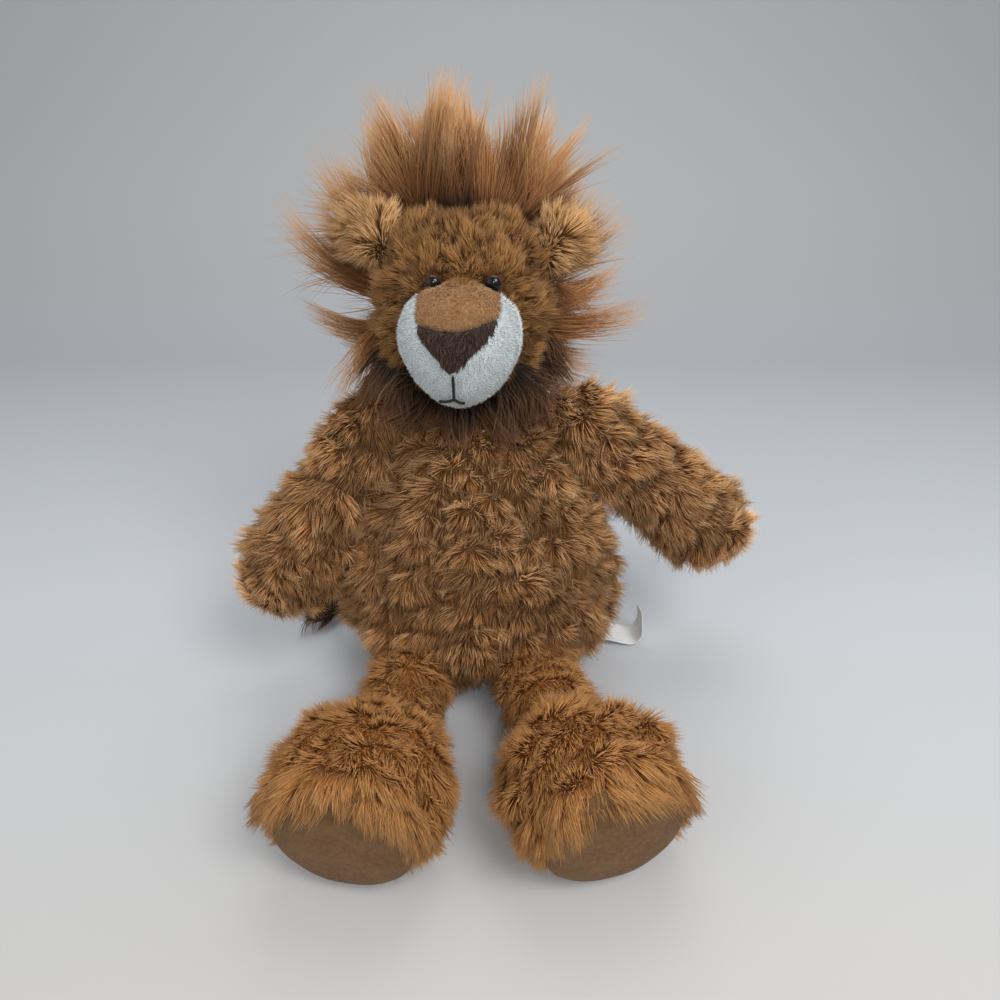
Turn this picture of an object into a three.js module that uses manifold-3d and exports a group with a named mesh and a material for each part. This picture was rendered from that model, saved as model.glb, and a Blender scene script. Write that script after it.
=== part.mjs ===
// A seated plush lion, built the way its maker sews it: a fur cover over a soft filling for the
// torso, the head and each limb, with ball-shaped roots that turn in round seats.
// Millimetres, +Z up. The lion looks along -Y, so its left side is +X.
// The origin is the middle of the flat under the torso.

import * as THREE from 'three';
import { mergeVertices } from 'three/addons/utils/BufferGeometryUtils.js';
import Module from 'manifold-3d';

const wasm = await Module();
wasm.setup();

// Cloth, filling and clearances
const furThickness = 9;        // backing cloth and pile of the body fur
const velourThickness = 1.6;   // bridge panel of the muzzle
const feltThickness = 2;       // foot soles
const fitGap = 0.35;           // between pieces that lie on each other
const limbGap = 0.8;           // between the belly and an arm that rests on it
const floorCut = 0.5;          // how deep each form is flattened where it rests
const overrun = 4;             // how far a cutting form passes beyond what it cuts
const weldReach = 1e-5;        // points nearer to each other than this are one

// Torso
const torsoHeight = 176;       // floor to the valley under the head
const torsoWidth = 182;
const torsoDepth = 145;
const torsoBaseRound = 12;     // height of the rounding around the flat base
const torsoNeckRound = 17;     // height of the rounding over the shoulders
const neckShift = -4;          // the neck stands a little to the lion's right
const neckBallRadius = 26;
const neckRiseShare = 0.6;     // neck pivot above the valley, as a share of the ball's radius
const neckHoleRadius = 9;      // opening in the cover through which the torso is filled
const neckRingWidth = 5;       // width of the gathered neck seam
const neckRingThickness = 4;

// Head
const headWidth = 97;
const headDepth = 92;
const headHeight = 98;
const headForward = 10;        // head centre ahead of the neck pivot
const headSideways = -3;       // head centre beside the neck pivot
const headRiseShare = 0.51;    // head centre above the neck pivot, as a share of the head's height
const headTipDegrees = 8;      // the head is tipped forward
const headRollDegrees = 3;     // and towards its left shoulder

// Muzzle, nose and mouth
const muzzleWidth = 62;
const muzzleHeightShare = 0.643; // of the head's height
const muzzleReach = 27;        // how far the muzzle stands ahead of the head
const muzzleDropShare = 0.102; // muzzle centre below the head centre, also of the head's height
const muzzleTaperShare = 0.2;  // the muzzle is narrower between the eyes
const bridgeWidth = 38;
const bridgeTopWidth = 27;
const bridgeHeight = 17;
const noseWidth = 37;
const noseHeight = 23;
const noseThickness = 1.2;
const noseTipBelow = 7;        // nose tip below the muzzle centre
const threadRadius = 0.7;
const mouthLength = 14;
const mouthWidth = 12;
const mouthCurl = 3.5;         // how far the ends of the mouth turn up
const mouthLineShares = [0, 0.33, 0.67, 1];
const mouthCurlShares = [-1, -0.6, -0.25, 0, 0.25, 0.6, 1];

// Eyes
const eyeRadius = 4.6;
const eyeSpacing = 29;
const eyeRiseShare = 0.2143;   // above the head centre, as a share of the head's height
const eyeDomeShare = 0.85;     // height of the dome as a share of its radius
const shankRadius = 1.8;
const washerRadius = 6;
const washerThickness = 1.5;
const shankTail = 2.5;         // length of shank behind the washer

// Ears
const earWidth = 34;
const earLength = 32;
const earRootRadius = 5.5;     // half the thickness of the ear
const earRootLength = 24;
const earAngleDegrees = 33;    // above the horizontal, seen from the front
const earBack = 6;             // behind the head centre

// Mane
const maneThickness = 5;       // of the strip that carries the hair
const maneStripWidth = 20;
const maneStart = 16;          // front edge of the strip behind the head centre
const lockRadius = 9;
const lockTipRadius = 1;
const lockLength = 54;
const backLockLength = 30;
const lockMarginDegrees = 9;   // between the ends of a strip and its outer locks
const lockTaper = 1.5;         // above 1, a lock stays full near its root
const lockSwayShare = 0.06;    // neighbouring locks lean apart, as a share of their length
const backLockDropShare = 0.5; // the locks at the back hang down, as a share of their length
const backLockTurns = [60, 120, 180, 240, 300, 360];

// Arms
const armReach = 102;          // shoulder pivot to the middle of the paw
const armRootRadius = 27;
const armUpperRadius = 29.5;
const armWristRadius = 30.5;
const pawRadius = 33;
const shoulderOutShare = 0.34; // of the torso's width
const shoulderRiseShare = 0.94;
const rightArmForwardDegrees = 18;
const leftArmForwardDegrees = 1;
const armLowestDegrees = 34;   // outward lean of an arm that rests on the belly
const leftArmRaiseDegrees = 16;
const armHoleRadius = 7;       // opening at the root through which the arm is filled

// Legs
const legReach = 76;           // hip pivot to the ankle pivot
const legRootRadius = 28;
const legCalfRadius = 27;
const ankleRadius = 25.5;
const hipSpacing = 68;
const hipInset = 28;           // hip pivot behind the front of the belly
const rightSplayDegrees = 9.5;
const leftSplayDegrees = 15;
const hipUpDegrees = 6;        // room in the torso for lifting a leg
const hipDownDegrees = 78;     // and for letting it hang
const ankleUpDegrees = 18;
const ankleDownDegrees = 10;
const legHoleRadius = 8;       // opening into the foot through which the leg is filled

// Feet
const footWidth = 97;
const footHeight = 83;
const footLength = 64;         // ankle pivot to the sole
const footHeelRound = 18;
const footToeRound = 22;
const soleInset = 2.5;         // depth of the flat that the sole is sewn on
const soleWidth = 70;
const soleHeight = 65;
const soleSeamWidth = 7;       // turned edge of the fur under the sole

// Tail
const tailRadius = 9;
const tailReach = 106;         // sideways, from the root to the start of the tuft
const tailBehind = 16;         // how far the tail bows out behind its root
const tuftLength = 46;
const tuftRadius = 13;

// Pellet bag, closing seam and label
const pelletBagWidthShare = 0.55; // of the torso's width
const pelletBagDepthShare = 0.372; // of the torso's depth
const pelletBagBackShare = 0.1; // behind the middle of the torso, also of its depth
const pelletBagHeight = 26;
const seamLength = 66;
const seamRise = 60;
const seamGrooveWidth = 5;
const seamGrooveDepth = 4;
const seamStitches = 6;
const labelWidth = 20;
const labelReach = 30;
const labelCurl = 13;
const labelThickness = 0.8;
const labelRise = 9;
const labelRootGap = 0.6;
const labelDropShare = 0.8;

// Facets
const bodySides = 18;
const bodyRings = 8;
const limbSides = 12;
const limbRings = 4;
const tailRings = 12;
const footSides = 16;
const smallSides = 10;
const capRings = 3;
const ballSides = 14;
const ballRings = 9;
const insideShare = 0.5;       // a cavity and its filling have fewer facets than the outside
const lockSides = 4;
const lockRings = 3;

// How full the rounded end of a form is: a half ball, or flatter than one
const roundCap = 2;
const softCap = 2.3;
const flatCap = 4;

const degrees = Math.PI / 180;
const half = 1 / 2;
const quarterTurn = Math.PI / 2;
const axisX = new THREE.Vector3(1, 0, 0);
const axisY = new THREE.Vector3(0, 1, 0);
const axisZ = new THREE.Vector3(0, 0, 1);

// Solids

/** A closed geometry as a solid that can be joined and cut. */
function solidOf(geometry) {
  const bare = geometry.clone();
  bare.deleteAttribute('normal');
  bare.deleteAttribute('uv');
  const merged = mergeVertices(bare, weldReach);
  return new wasm.Manifold(new wasm.Mesh({
    numProp: 3,
    vertProperties: new Float32Array(merged.attributes.position.array),
    triVerts: new Uint32Array(merged.index.array),
  }));
}

/** The triangles of a solid as a geometry. */
function geometryOf(solid) {
  const mesh = solid.getMesh();
  const geometry = new THREE.BufferGeometry();
  geometry.setAttribute('position', new THREE.BufferAttribute(mesh.vertProperties, 3));
  geometry.setIndex(new THREE.BufferAttribute(mesh.triVerts, 1));
  geometry.computeVertexNormals();
  return geometry;
}

const joined = (...geometries) => geometries.map(solidOf).reduce((all, next) => all.add(next));
const cutBy = (solid, ...geometries) => geometries
  .map(solidOf).reduce((left, next) => left.subtract(next), solid);

/** The same geometry moved by a matrix. */
const moved = (geometry, matrix) => geometry.clone().applyMatrix4(matrix);

/** Facet counts: all of them on the outside of a form, fewer on its cavity and its filling. */
const facets = (count, inside) => (inside ? 2 * Math.ceil(count * insideShare * half) : count);

const facetLossShare = 0.034;  // what flat facets take off a round seat, as a share of its radius

/** The room around a ball root that turns in a seat. */
const turnGap = (radius) => fitGap + radius * facetLossShare;

/** The seat that a form leaves around a ball root: the more the form shrinks, the wider it is. */
const seat = (centre, radius, grow, inside = grow < 0) => new THREE.SphereGeometry(
  radius + turnGap(radius) - grow, facets(ballSides, inside), facets(ballRings, inside),
).rotateY(Math.PI / ballSides).translate(centre.x, centre.y, centre.z);

/** A ball around a point. */
const ball = (centre, radius, grow = 0) => new THREE.SphereGeometry(
  radius + grow, facets(ballSides, grow < 0), facets(ballRings, grow < 0),
).translate(centre.x, centre.y, centre.z);

/** A round bar between two points. */
function bar(from, to, radius, sides = smallSides) {
  const way = new THREE.Vector3().subVectors(to, from);
  const turn = new THREE.Quaternion().setFromUnitVectors(axisY, way.clone().normalize());
  const middle = new THREE.Vector3().addVectors(from, to).multiplyScalar(half);
  return new THREE.CylinderGeometry(radius, radius, way.length(), sides)
    .applyQuaternion(turn).translate(middle.x, middle.y, middle.z);
}

/** A straight prism of a front outline, from y = start forwards to y = end. */
const frontPrism = (shape, start, end) => new THREE.ExtrudeGeometry(
  shape, { depth: start - end, bevelEnabled: false, curveSegments: capRings },
).rotateX(quarterTurn).translate(0, start, 0);

/** Everything under a level. */
function underLevel(level, reach) {
  return new THREE.BoxGeometry(reach * 2, reach * 2, reach).translate(0, 0, level - reach * half);
}

// Stuffed forms

/**
 * A stuffed form: rings of points around a spine, closed by a rounded cap at each end.
 * girth(t) gives the half sizes across and deep from the root (0) to the tip (1). A full cap is
 * flatter than a round one, and a taper narrows the side that the spine's third axis points to.
 */
function stuffedForm(form, grow = 0, inside = grow < 0) {
  const { spine, girth, side, root, tip, taper = 0 } = form;
  const sides = facets(form.sides, inside);
  const rings = facets(form.rings, inside);
  const points = [];
  const addRing = (centre, way, across, deep) => {
    const s = side.clone().addScaledVector(way, -side.dot(way)).normalize();
    const u = new THREE.Vector3().crossVectors(way, s);
    for (let k = 0; k < sides; k += 1) {
      const turn = (2 * Math.PI * k) / sides;
      const x = Math.cos(turn) * (1 - taper * Math.sin(turn)) * across;
      points.push(centre.clone().addScaledVector(s, x).addScaledVector(u, Math.sin(turn) * deep));
    }
  };
  const addCap = (t, cap, sign) => {
    const centre = spine.getPoint(t);
    const way = spine.getTangent(t);
    const { across, deep } = girth(t);
    const power = 2 / (cap.full ?? roundCap);
    const reach = sign * (cap.length + grow);
    const capSteps = form.capSteps ?? capRings;
    const steps = Array.from({ length: capSteps - 1 }, (unused, k) => (k + 1) / capSteps);
    for (const step of sign < 0 ? steps : steps.reverse()) {
      const share = Math.sin(step * quarterTurn) ** power;
      const out = Math.cos(step * quarterTurn) ** power;
      addRing(centre.clone().addScaledVector(way, out * reach), way,
        (across + grow) * share, (deep + grow) * share);
    }
    return centre.clone().addScaledVector(way, reach);
  };
  const rootPole = addCap(0, root, -1);
  for (let i = 0; i <= rings; i += 1) {
    const { across, deep } = girth(i / rings);
    addRing(spine.getPoint(i / rings), spine.getTangent(i / rings), across + grow, deep + grow);
  }
  const tipPole = addCap(1, tip, 1);
  const ringCount = points.length / sides;
  const faces = [];
  for (let k = 0; k < sides; k += 1) {
    const next = (k + 1) % sides;
    const last = (ringCount - 1) * sides;
    faces.push(points.length, next, k, points.length + 1, last + k, last + next);
    for (let i = 0; i + 1 < ringCount; i += 1) {
      const a = i * sides;
      const b = a + sides;
      faces.push(a + k, a + next, b + next, a + k, b + next, b + k);
    }
  }
  points.push(rootPole, tipPole);
  const geometry = new THREE.BufferGeometry().setFromPoints(points);
  geometry.setIndex(faces);
  return geometry;
}

/** A smooth size along a spine, through shares of a full size. */
function smoothShares(shares) {
  const curve = new THREE.SplineCurve(shares.map((share, i) => new THREE.Vector2(i, share)));
  return (t) => curve.getPoint(t).y;
}

/** The first point of a geometry that a straight line from a point meets. */
function surfacePoint(geometry, from, way) {
  const target = new THREE.Mesh(geometry, new THREE.MeshBasicMaterial({ side: THREE.DoubleSide }));
  const hits = new THREE.Raycaster(from, way.clone().normalize()).intersectObject(target);
  return hits[0].point;
}

/** A thread or hair that follows a curve. */
function strand(curve, radius, steps) {
  const sides = Array.from({ length: lockSides }, (unused, k) => {
    const turn = (2 * Math.PI * k) / lockSides;
    return new THREE.Vector2(Math.cos(turn) * radius, Math.sin(turn) * radius);
  });
  return new THREE.ExtrudeGeometry(new THREE.Shape(sides), { extrudePath: curve, steps });
}

// Places that several pieces share

const neckPivot = new THREE.Vector3(
  neckShift, 0, torsoHeight + neckBallRadius * neckRiseShare);
const headCentre = neckPivot.clone()
  .add(new THREE.Vector3(headSideways, -headForward, headHeight * headRiseShare));
const shoulder = (sign) => new THREE.Vector3(
  sign * torsoWidth * shoulderOutShare, 0, torsoHeight * shoulderRiseShare);
const hipRise = legRootRadius - floorCut;
const bellyFrontShare = 0.555;
const bellyFront = -torsoDepth * bellyFrontShare;
const hip = (sign) => new THREE.Vector3(
  neckShift + sign * hipSpacing * half, bellyFront + hipInset, hipRise);
const armTurn = (sign, raise) => new THREE.Matrix4().makeRotationFromEuler(new THREE.Euler(
  (sign < 0 ? -rightArmForwardDegrees : -leftArmForwardDegrees) * degrees,
  -sign * (armLowestDegrees + raise) * degrees, 0, 'YXZ'));

// Torso form: half sizes and lean of each level, as shares of the torso's width and depth

const torsoWidthShares = [0.84, 0.96, 1, 0.985, 0.92, 0.83, 0.74, 0.61];
const torsoDepthShares = [0.82, 0.95, 1, 0.99, 0.94, 0.84, 0.73, 0.6];
const torsoLeanShares = [-0.02, -0.045, -0.055, -0.055, -0.05, -0.035, -0.02, 0];
const torsoSpine = new THREE.CatmullRomCurve3(torsoLeanShares.map((share, i, all) => {
  const step = i / (all.length - 1);
  return new THREE.Vector3(neckShift * step, torsoDepth * share, THREE.MathUtils.lerp(
    torsoBaseRound - floorCut, torsoHeight - torsoNeckRound, step));
}));
const torsoAcross = smoothShares(torsoWidthShares);
const torsoDeep = smoothShares(torsoDepthShares);
const torso = {
  spine: {
    getPoint: (t) => torsoSpine.getPoint(t),
    getTangent: () => axisZ,
  },
  girth: (t) => ({
    across: torsoWidth * half * torsoAcross(t), deep: torsoDepth * half * torsoDeep(t),
  }),
  side: axisX,
  sides: bodySides,
  rings: bodyRings,
  root: { length: torsoBaseRound, full: flatCap },
  tip: { length: torsoNeckRound },
};

// Limb forms, each along its own axis from its pivot

const armGirth = smoothShares([armRootRadius, armUpperRadius, armWristRadius, pawRadius].map(
  (radius) => radius / pawRadius));
const arm = {
  spine: new THREE.QuadraticBezierCurve3(
    new THREE.Vector3(), new THREE.Vector3(0, 0, -armReach * half),
    new THREE.Vector3(0, 0, -armReach)),
  girth: (t) => ({ across: pawRadius * armGirth(t), deep: pawRadius * armGirth(t) }),
  side: axisX,
  sides: limbSides,
  rings: limbRings,
  root: { length: armRootRadius },
  tip: { length: pawRadius },
};
const legGirth = smoothShares([legRootRadius, legCalfRadius, legCalfRadius, ankleRadius].map(
  (radius) => radius / legRootRadius));
const leg = {
  spine: new THREE.LineCurve3(
    new THREE.Vector3(), new THREE.Vector3(0, -legReach, ankleRadius - legRootRadius)),
  girth: (t) => ({ across: legRootRadius * legGirth(t), deep: legRootRadius * legGirth(t) }),
  side: axisX,
  sides: limbSides,
  rings: limbRings,
  root: { length: legRootRadius },
  tip: { length: ankleRadius },
};
const anklePivot = new THREE.Vector3(0, -legReach, ankleRadius - legRootRadius);
const footAcross = smoothShares([0.6, 0.82, 0.96, 1, 0.95]);
const footMiddle = footHeight * half - floorCut - hipRise;
const foot = {
  spine: new THREE.LineCurve3(
    anklePivot.clone().setZ(footMiddle),
    anklePivot.clone().setZ(footMiddle).setY(anklePivot.y - footLength + footToeRound - soleInset)),
  girth: (t) => ({ across: footWidth * half * footAcross(t), deep: footHeight * half * footAcross(t) }),
  side: axisX,
  sides: footSides,
  rings: limbRings,
  root: { length: footHeelRound },
  tip: { length: footToeRound, full: flatCap },
};

// Tail: a hand-laid route on the floor, as shares of its sideways reach and of its bow

const tailPivot = new THREE.Vector3(
  0, torsoDepth * (torsoDepthShares[1] * half + torsoLeanShares[1]), tailRadius - floorCut);
const tailSideShares = [0, -0.16, -0.42, -0.68, -0.88, -0.97];
const tailBowShares = [0, 0.85, 1.25, 1, 0.1, -1.1];
const tailSpine = new THREE.CatmullRomCurve3(tailSideShares.map((share, i) => (
  new THREE.Vector3(tailReach * share, tailBehind * tailBowShares[i], 0))));
const tail = {
  spine: tailSpine,
  girth: () => ({ across: tailRadius, deep: tailRadius }),
  side: axisZ,
  sides: smallSides,
  rings: tailRings,
  root: { length: tailRadius },
  tip: { length: tailRadius },
};

// The head in its own frame, and where it stands

const headTurn = new THREE.Matrix4().makeRotationFromEuler(new THREE.Euler(
  headTipDegrees * degrees, headRollDegrees * degrees, 0, 'YXZ'));
const headPlace = headTurn.clone().setPosition(headCentre);
const headMiddleShare = 0.3;   // length of the straight middle, as a share of the head's height
const headAcross = smoothShares([0.86, 0.98, 1, 0.96, 0.82]);
const head = {
  spine: new THREE.LineCurve3(
    new THREE.Vector3(0, 0, -headHeight * headMiddleShare),
    new THREE.Vector3(0, 0, headHeight * headMiddleShare)),
  girth: (t) => ({
    across: headWidth * half * headAcross(t), deep: headDepth * half * headAcross(t),
  }),
  side: axisX,
  sides: bodySides,
  rings: limbRings,
  root: { length: headHeight * (half - headMiddleShare), full: softCap },
  tip: { length: headHeight * (half - headMiddleShare), full: softCap },
};
const headShape = (grow) => moved(stuffedForm(head, grow), headPlace);

const muzzleFront = headCentre.y - headDepth * half;
const muzzleCentre = new THREE.Vector3(
  headCentre.x, muzzleFront, headCentre.z - headHeight * muzzleDropShare);
const muzzle = {
  spine: new THREE.LineCurve3(
    muzzleCentre.clone().setY(headCentre.y), muzzleCentre),
  girth: () => ({ across: muzzleWidth * half, deep: headHeight * muzzleHeightShare * half }),
  side: axisX,
  sides: bodySides,
  rings: 2,
  root: { length: furThickness, full: flatCap },
  tip: { length: muzzleReach },
  taper: muzzleTaperShare,
};

// Ears: a flap that tapers off from a round root lying in a groove of the head

const earAlong = (sign) => new THREE.Vector3(
  sign * Math.cos(earAngleDegrees * degrees), 0, Math.sin(earAngleDegrees * degrees));
const earHinge = (sign) => new THREE.Vector3(
  -sign * Math.sin(earAngleDegrees * degrees), 0, Math.cos(earAngleDegrees * degrees));
const earRoot = (sign) => {
  const middle = new THREE.Vector3(0, earBack, 0);
  return surfacePoint(stuffedForm(head), middle, earAlong(sign));
};
const earGroove = (sign, grow) => {
  const root = earRoot(sign);
  const reach = earHinge(sign).multiplyScalar(earRootLength * half + fitGap + grow);
  return moved(bar(root.clone().sub(reach), root.clone().add(reach),
    earRootRadius + turnGap(earRootRadius) + grow), headPlace);
};
const earShares = [0.72, 0.95, 1, 0.9];
const earForm = (sign) => {
  const across = smoothShares(earShares);
  const root = earRoot(sign);
  const spine = new THREE.LineCurve3(
    root, root.clone().addScaledVector(earAlong(sign), earLength - earRootRadius));
  const flap = stuffedForm({
    spine,
    girth: (t) => ({ across: earWidth * half * across(t), deep: earRootRadius }),
    side: earHinge(1),
    sides: smallSides,
    rings: limbRings,
    root: { length: earRootRadius * half },
    tip: { length: earRootRadius, full: softCap },
  });
  const reach = earHinge(sign).multiplyScalar(earRootLength * half);
  const core = bar(root.clone().sub(reach), root.clone().add(reach), earRootRadius);
  return { flap: moved(flap, headPlace), core: moved(core, headPlace) };
};

// Bodies of the torso with the seats for what turns in it

const legTurn = (sign, down) => {
  const splay = (sign < 0 ? -rightSplayDegrees : leftSplayDegrees) * degrees;
  const turn = new THREE.Euler(down * degrees, 0, splay, 'ZXY');
  return new THREE.Matrix4().makeRotationFromEuler(turn).setPosition(hip(sign));
};

const webShare = 0.985;        // the fan between the two bars is a little narrower than they are

/** The room that a leg sweeps from its highest to its lowest turn: a bar at each end of a fan. */
function legRoom(sign, room) {
  const radius = legRootRadius + room;
  const width = radius * 2 * webShare;
  const reach = new THREE.Vector3(0, -legReach * 2, 0);
  const fan = new THREE.Shape([new THREE.Vector2(), ...[-hipUpDegrees, hipDownDegrees].map((down) => (
    new THREE.Vector2(-Math.cos(down * degrees), -Math.sin(down * degrees))
      .multiplyScalar(legReach * 2)))]);
  const web = new THREE.ExtrudeGeometry(fan, { depth: width, bevelEnabled: false })
    .applyMatrix4(new THREE.Matrix4().makeBasis(axisY, axisZ, axisX)).translate(-width * half, 0, 0);
  return [moved(web, legTurn(sign, 0)), ...[-hipUpDegrees, hipDownDegrees].map((down) => (
    moved(bar(new THREE.Vector3(), reach, radius, limbSides), legTurn(sign, down))))];
}

function torsoSolid(grow, inside = grow < 0) {
  const neckFoot = neckPivot.clone().setZ(torsoHeight - neckBallRadius);
  let solid = joined(stuffedForm(torso, grow, inside), ball(neckPivot, neckBallRadius, grow),
    bar(neckFoot, neckPivot, neckHoleRadius + furThickness + grow, facets(bodySides, inside)));
  const room = turnGap(legRootRadius) - grow;
  for (const sign of [-1, 1]) {
    solid = cutBy(solid, seat(shoulder(sign), armRootRadius, grow, inside),
      seat(hip(sign), legRootRadius, grow, inside));
    solid = cutBy(solid, ...legRoom(sign, room));
  }
  return cutBy(solid, seat(tailPivot, tailRadius, grow));
}

const floorTool = underLevel(0, torsoWidth * 2);
const object = new THREE.Group();

/** Adds a named piece in its own colour and finish. */
function add(name, shape, finish, parent = object) {
  const geometry = shape.isBufferGeometry ? shape : geometryOf(shape);
  const mesh = new THREE.Mesh(geometry, new THREE.MeshStandardMaterial(finish));
  mesh.name = name;
  parent.add(mesh);
  return mesh;
}

const bodyFur = { color: 0x9a6a3c, roughness: 0.95, metalness: 0 };
const footFur = { color: 0xa9713a, roughness: 0.95, metalness: 0 };
const maneHair = { color: 0x7d4a27, roughness: 0.85, metalness: 0 };
const filling = { color: 0xf2f0ea, roughness: 1, metalness: 0 };
const whiteVelour = { color: 0xe4e6e6, roughness: 0.95, metalness: 0 };
const tanVelour = { color: 0xa9794c, roughness: 0.95, metalness: 0 };
const soleSuede = { color: 0x8e6a4a, roughness: 1, metalness: 0 };
const brownThread = { color: 0x3a1f17, roughness: 0.8, metalness: 0 };
const blackGloss = { color: 0x0a0808, roughness: 0.1, metalness: 0 };
const clearPlastic = { color: 0xd8dde0, roughness: 0.4, metalness: 0 };
const bagCloth = { color: 0xd9d4c8, roughness: 1, metalness: 0 };
const labelTape = { color: 0xf4f4f2, roughness: 0.8, metalness: 0 };
const seamThread = { color: 0x6f4a2a, roughness: 0.9, metalness: 0 };

// Torso pieces

/** The seam that closes the back: a valley in the fur with a zigzag thread at its bottom. */
function closingSeam() {
  const outside = geometryOf(solidOf(stuffedForm(torso)));
  const steps = seamStitches * 2;
  const back = (i, inset) => {
    const level = seamRise + (seamLength * i) / steps;
    const from = new THREE.Vector3(neckShift * half, torsoDepth, level);
    return surfacePoint(outside, from, axisY.clone().negate()).add(new THREE.Vector3(0, -inset, 0));
  };
  const valley = [];
  const stitches = [];
  for (let i = -1; i <= steps + 1; i += 1) {
    valley.push(back(i, 0));
  }
  for (let i = 0; i <= steps; i += 1) {
    const sway = (i % 2 ? 1 : -1) * (seamGrooveWidth * half - threadRadius - fitGap * 2);
    stitches.push(back(i, seamGrooveDepth - threadRadius - fitGap).add(new THREE.Vector3(sway, 0, 0)));
  }
  const lip = (out) => valley.map((point) => new THREE.Vector2(point.y + out, point.z));
  const outline = [...lip(-seamGrooveDepth), ...lip(overrun).reverse()];
  const groove = new THREE.ExtrudeGeometry(
    new THREE.Shape(outline), { depth: seamGrooveWidth, bevelEnabled: false })
    .applyMatrix4(new THREE.Matrix4().makeBasis(axisY, axisZ, axisX))
    .translate((neckShift - seamGrooveWidth) * half, 0, 0);
  return { groove, thread: new THREE.CatmullRomCurve3(stitches, false, 'catmullrom', 0), steps };
}

const seam = closingSeam();
const torsoCavity = torsoSolid(-furThickness);
const neckHole = bar(neckPivot, neckPivot.clone().setZ(neckPivot.z + neckBallRadius + overrun),
  neckHoleRadius);
add('torso_cover', cutBy(torsoSolid(0).subtract(torsoCavity), floorTool, neckHole, seam.groove), bodyFur);
add('closing_seam', strand(seam.thread, threadRadius, seam.steps), seamThread);

const pelletBagWidth = torsoWidth * pelletBagWidthShare;
const pelletBagDepth = torsoDepth * pelletBagDepthShare;
const pelletBagBack = torsoDepth * pelletBagBackShare;
const bagRise = furThickness + fitGap * 2 + pelletBagHeight * half;
const pelletBag = {
  spine: new THREE.LineCurve3(
    new THREE.Vector3((pelletBagDepth - pelletBagWidth) * half, pelletBagBack, bagRise),
    new THREE.Vector3((pelletBagWidth - pelletBagDepth) * half, pelletBagBack, bagRise)),
  girth: () => ({ across: pelletBagDepth * half, deep: pelletBagHeight * half }),
  side: axisY,
  sides: smallSides,
  rings: 2,
  root: { length: pelletBagDepth * half },
  tip: { length: pelletBagDepth * half },
};
const bagRoom = stuffedForm(pelletBag, fitGap);
const bagWell = joined(bagRoom, moved(
  bagRoom, new THREE.Matrix4().makeTranslation(0, 0, -pelletBagHeight * half)));
add('torso_filling', torsoSolid(-furThickness - fitGap).subtract(bagWell), filling);
add('pellet_bag', stuffedForm(pelletBag), bagCloth);

// Neck seam: the gathered ring of stitches that the head turns on

const ringDrop = neckPivot.z - torsoHeight - fitGap - neckRingThickness;
const ringInside = Math.sqrt(neckBallRadius ** 2 - ringDrop ** 2) + fitGap;
const ringOutline = [[0, 0], [1, 0], [1, 1], [0, 1], [0, 0]].map(([out, up]) => new THREE.Vector2(
  ringInside + neckRingWidth * out, neckRingThickness * up));
const neckRing = mergeVertices(new THREE.LatheGeometry(ringOutline, bodySides));
add('neck_seam', neckRing, seamThread).quaternion.setFromUnitVectors(axisY, axisZ);
object.getObjectByName('neck_seam').position.set(neckPivot.x, neckPivot.y, torsoHeight + fitGap);

// Head pieces

const neckSocket = (grow) => seat(neckPivot, neckBallRadius, grow);
const eyePlace = (sign) => surfacePoint(
  headShape(0), new THREE.Vector3(
    headCentre.x + sign * eyeSpacing * half,
    headCentre.y - headDepth,
    headCentre.z + headHeight * eyeRiseShare),
  axisY);
const shankLength = furThickness + washerThickness + shankTail;

/** A safety eye turned about its own axis: a dome, and a shank that goes through the cover. */
function eyeShape() {
  const dome = Array.from({ length: capRings + 2 }, (unused, i) => {
    const turn = (i / (capRings + 1)) * quarterTurn;
    return new THREE.Vector2(Math.sin(turn) * eyeRadius, -Math.cos(turn) * eyeRadius * eyeDomeShare);
  });
  const shank = [[eyeRadius, 0], [shankRadius, 0], [shankRadius, shankLength], [0, shankLength]];
  const outline = [...dome, ...shank.slice(1).map(([x, y]) => new THREE.Vector2(x, y))];
  return joined(new THREE.LatheGeometry(outline, smallSides));
}

const washerShape = () => {
  const ring = [
    [shankRadius + fitGap, 0], [washerRadius, 0], [washerRadius, washerThickness],
    [shankRadius + fitGap, washerThickness], [shankRadius + fitGap, 0],
  ].map(([x, y]) => new THREE.Vector2(x, y));
  return joined(new THREE.LatheGeometry(ring, smallSides));
};

const eyeRooms = [];
const washerRooms = [];
for (const [side, sign] of [['right', -1], ['left', 1]]) {
  const place = eyePlace(sign).add(new THREE.Vector3(0, -fitGap, 0));
  const inside = place.clone().setY(place.y + furThickness + fitGap * 2);
  add(`${side}_eye`, eyeShape(), blackGloss).position.copy(place);
  add(`${side}_eye_washer`, washerShape(), clearPlastic).position.copy(inside);
  const front = place.clone().setY(place.y - eyeRadius * 2 - muzzleReach);
  const back = place.clone().setY(place.y + shankLength + furThickness);
  eyeRooms.push({
    dome: bar(front, place, eyeRadius + fitGap),
    shank: bar(place.clone().setY(place.y - fitGap), back, shankRadius + fitGap),
  });
  washerRooms.push(bar(inside.clone().setY(inside.y - fitGap), back, washerRadius + fitGap));
}

const headCavity = cutBy(solidOf(headShape(-furThickness)), ...[-1, 1].map(
  (sign) => earGroove(sign, furThickness)));
const headFilling = cutBy(solidOf(headShape(-furThickness - fitGap)), ...[-1, 1].map(
  (sign) => earGroove(sign, furThickness + fitGap)));
add('head_cover', cutBy(solidOf(headShape(0)).subtract(headCavity), neckSocket(0),
  ...[-1, 1].map((sign) => earGroove(sign, 0)), ...washerRooms,
  ...eyeRooms.flatMap((room) => [room.dome, room.shank])), bodyFur);
add('head_filling', cutBy(headFilling, neckSocket(0), ...washerRooms,
  ...eyeRooms.map((room) => room.shank)), filling);

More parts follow.
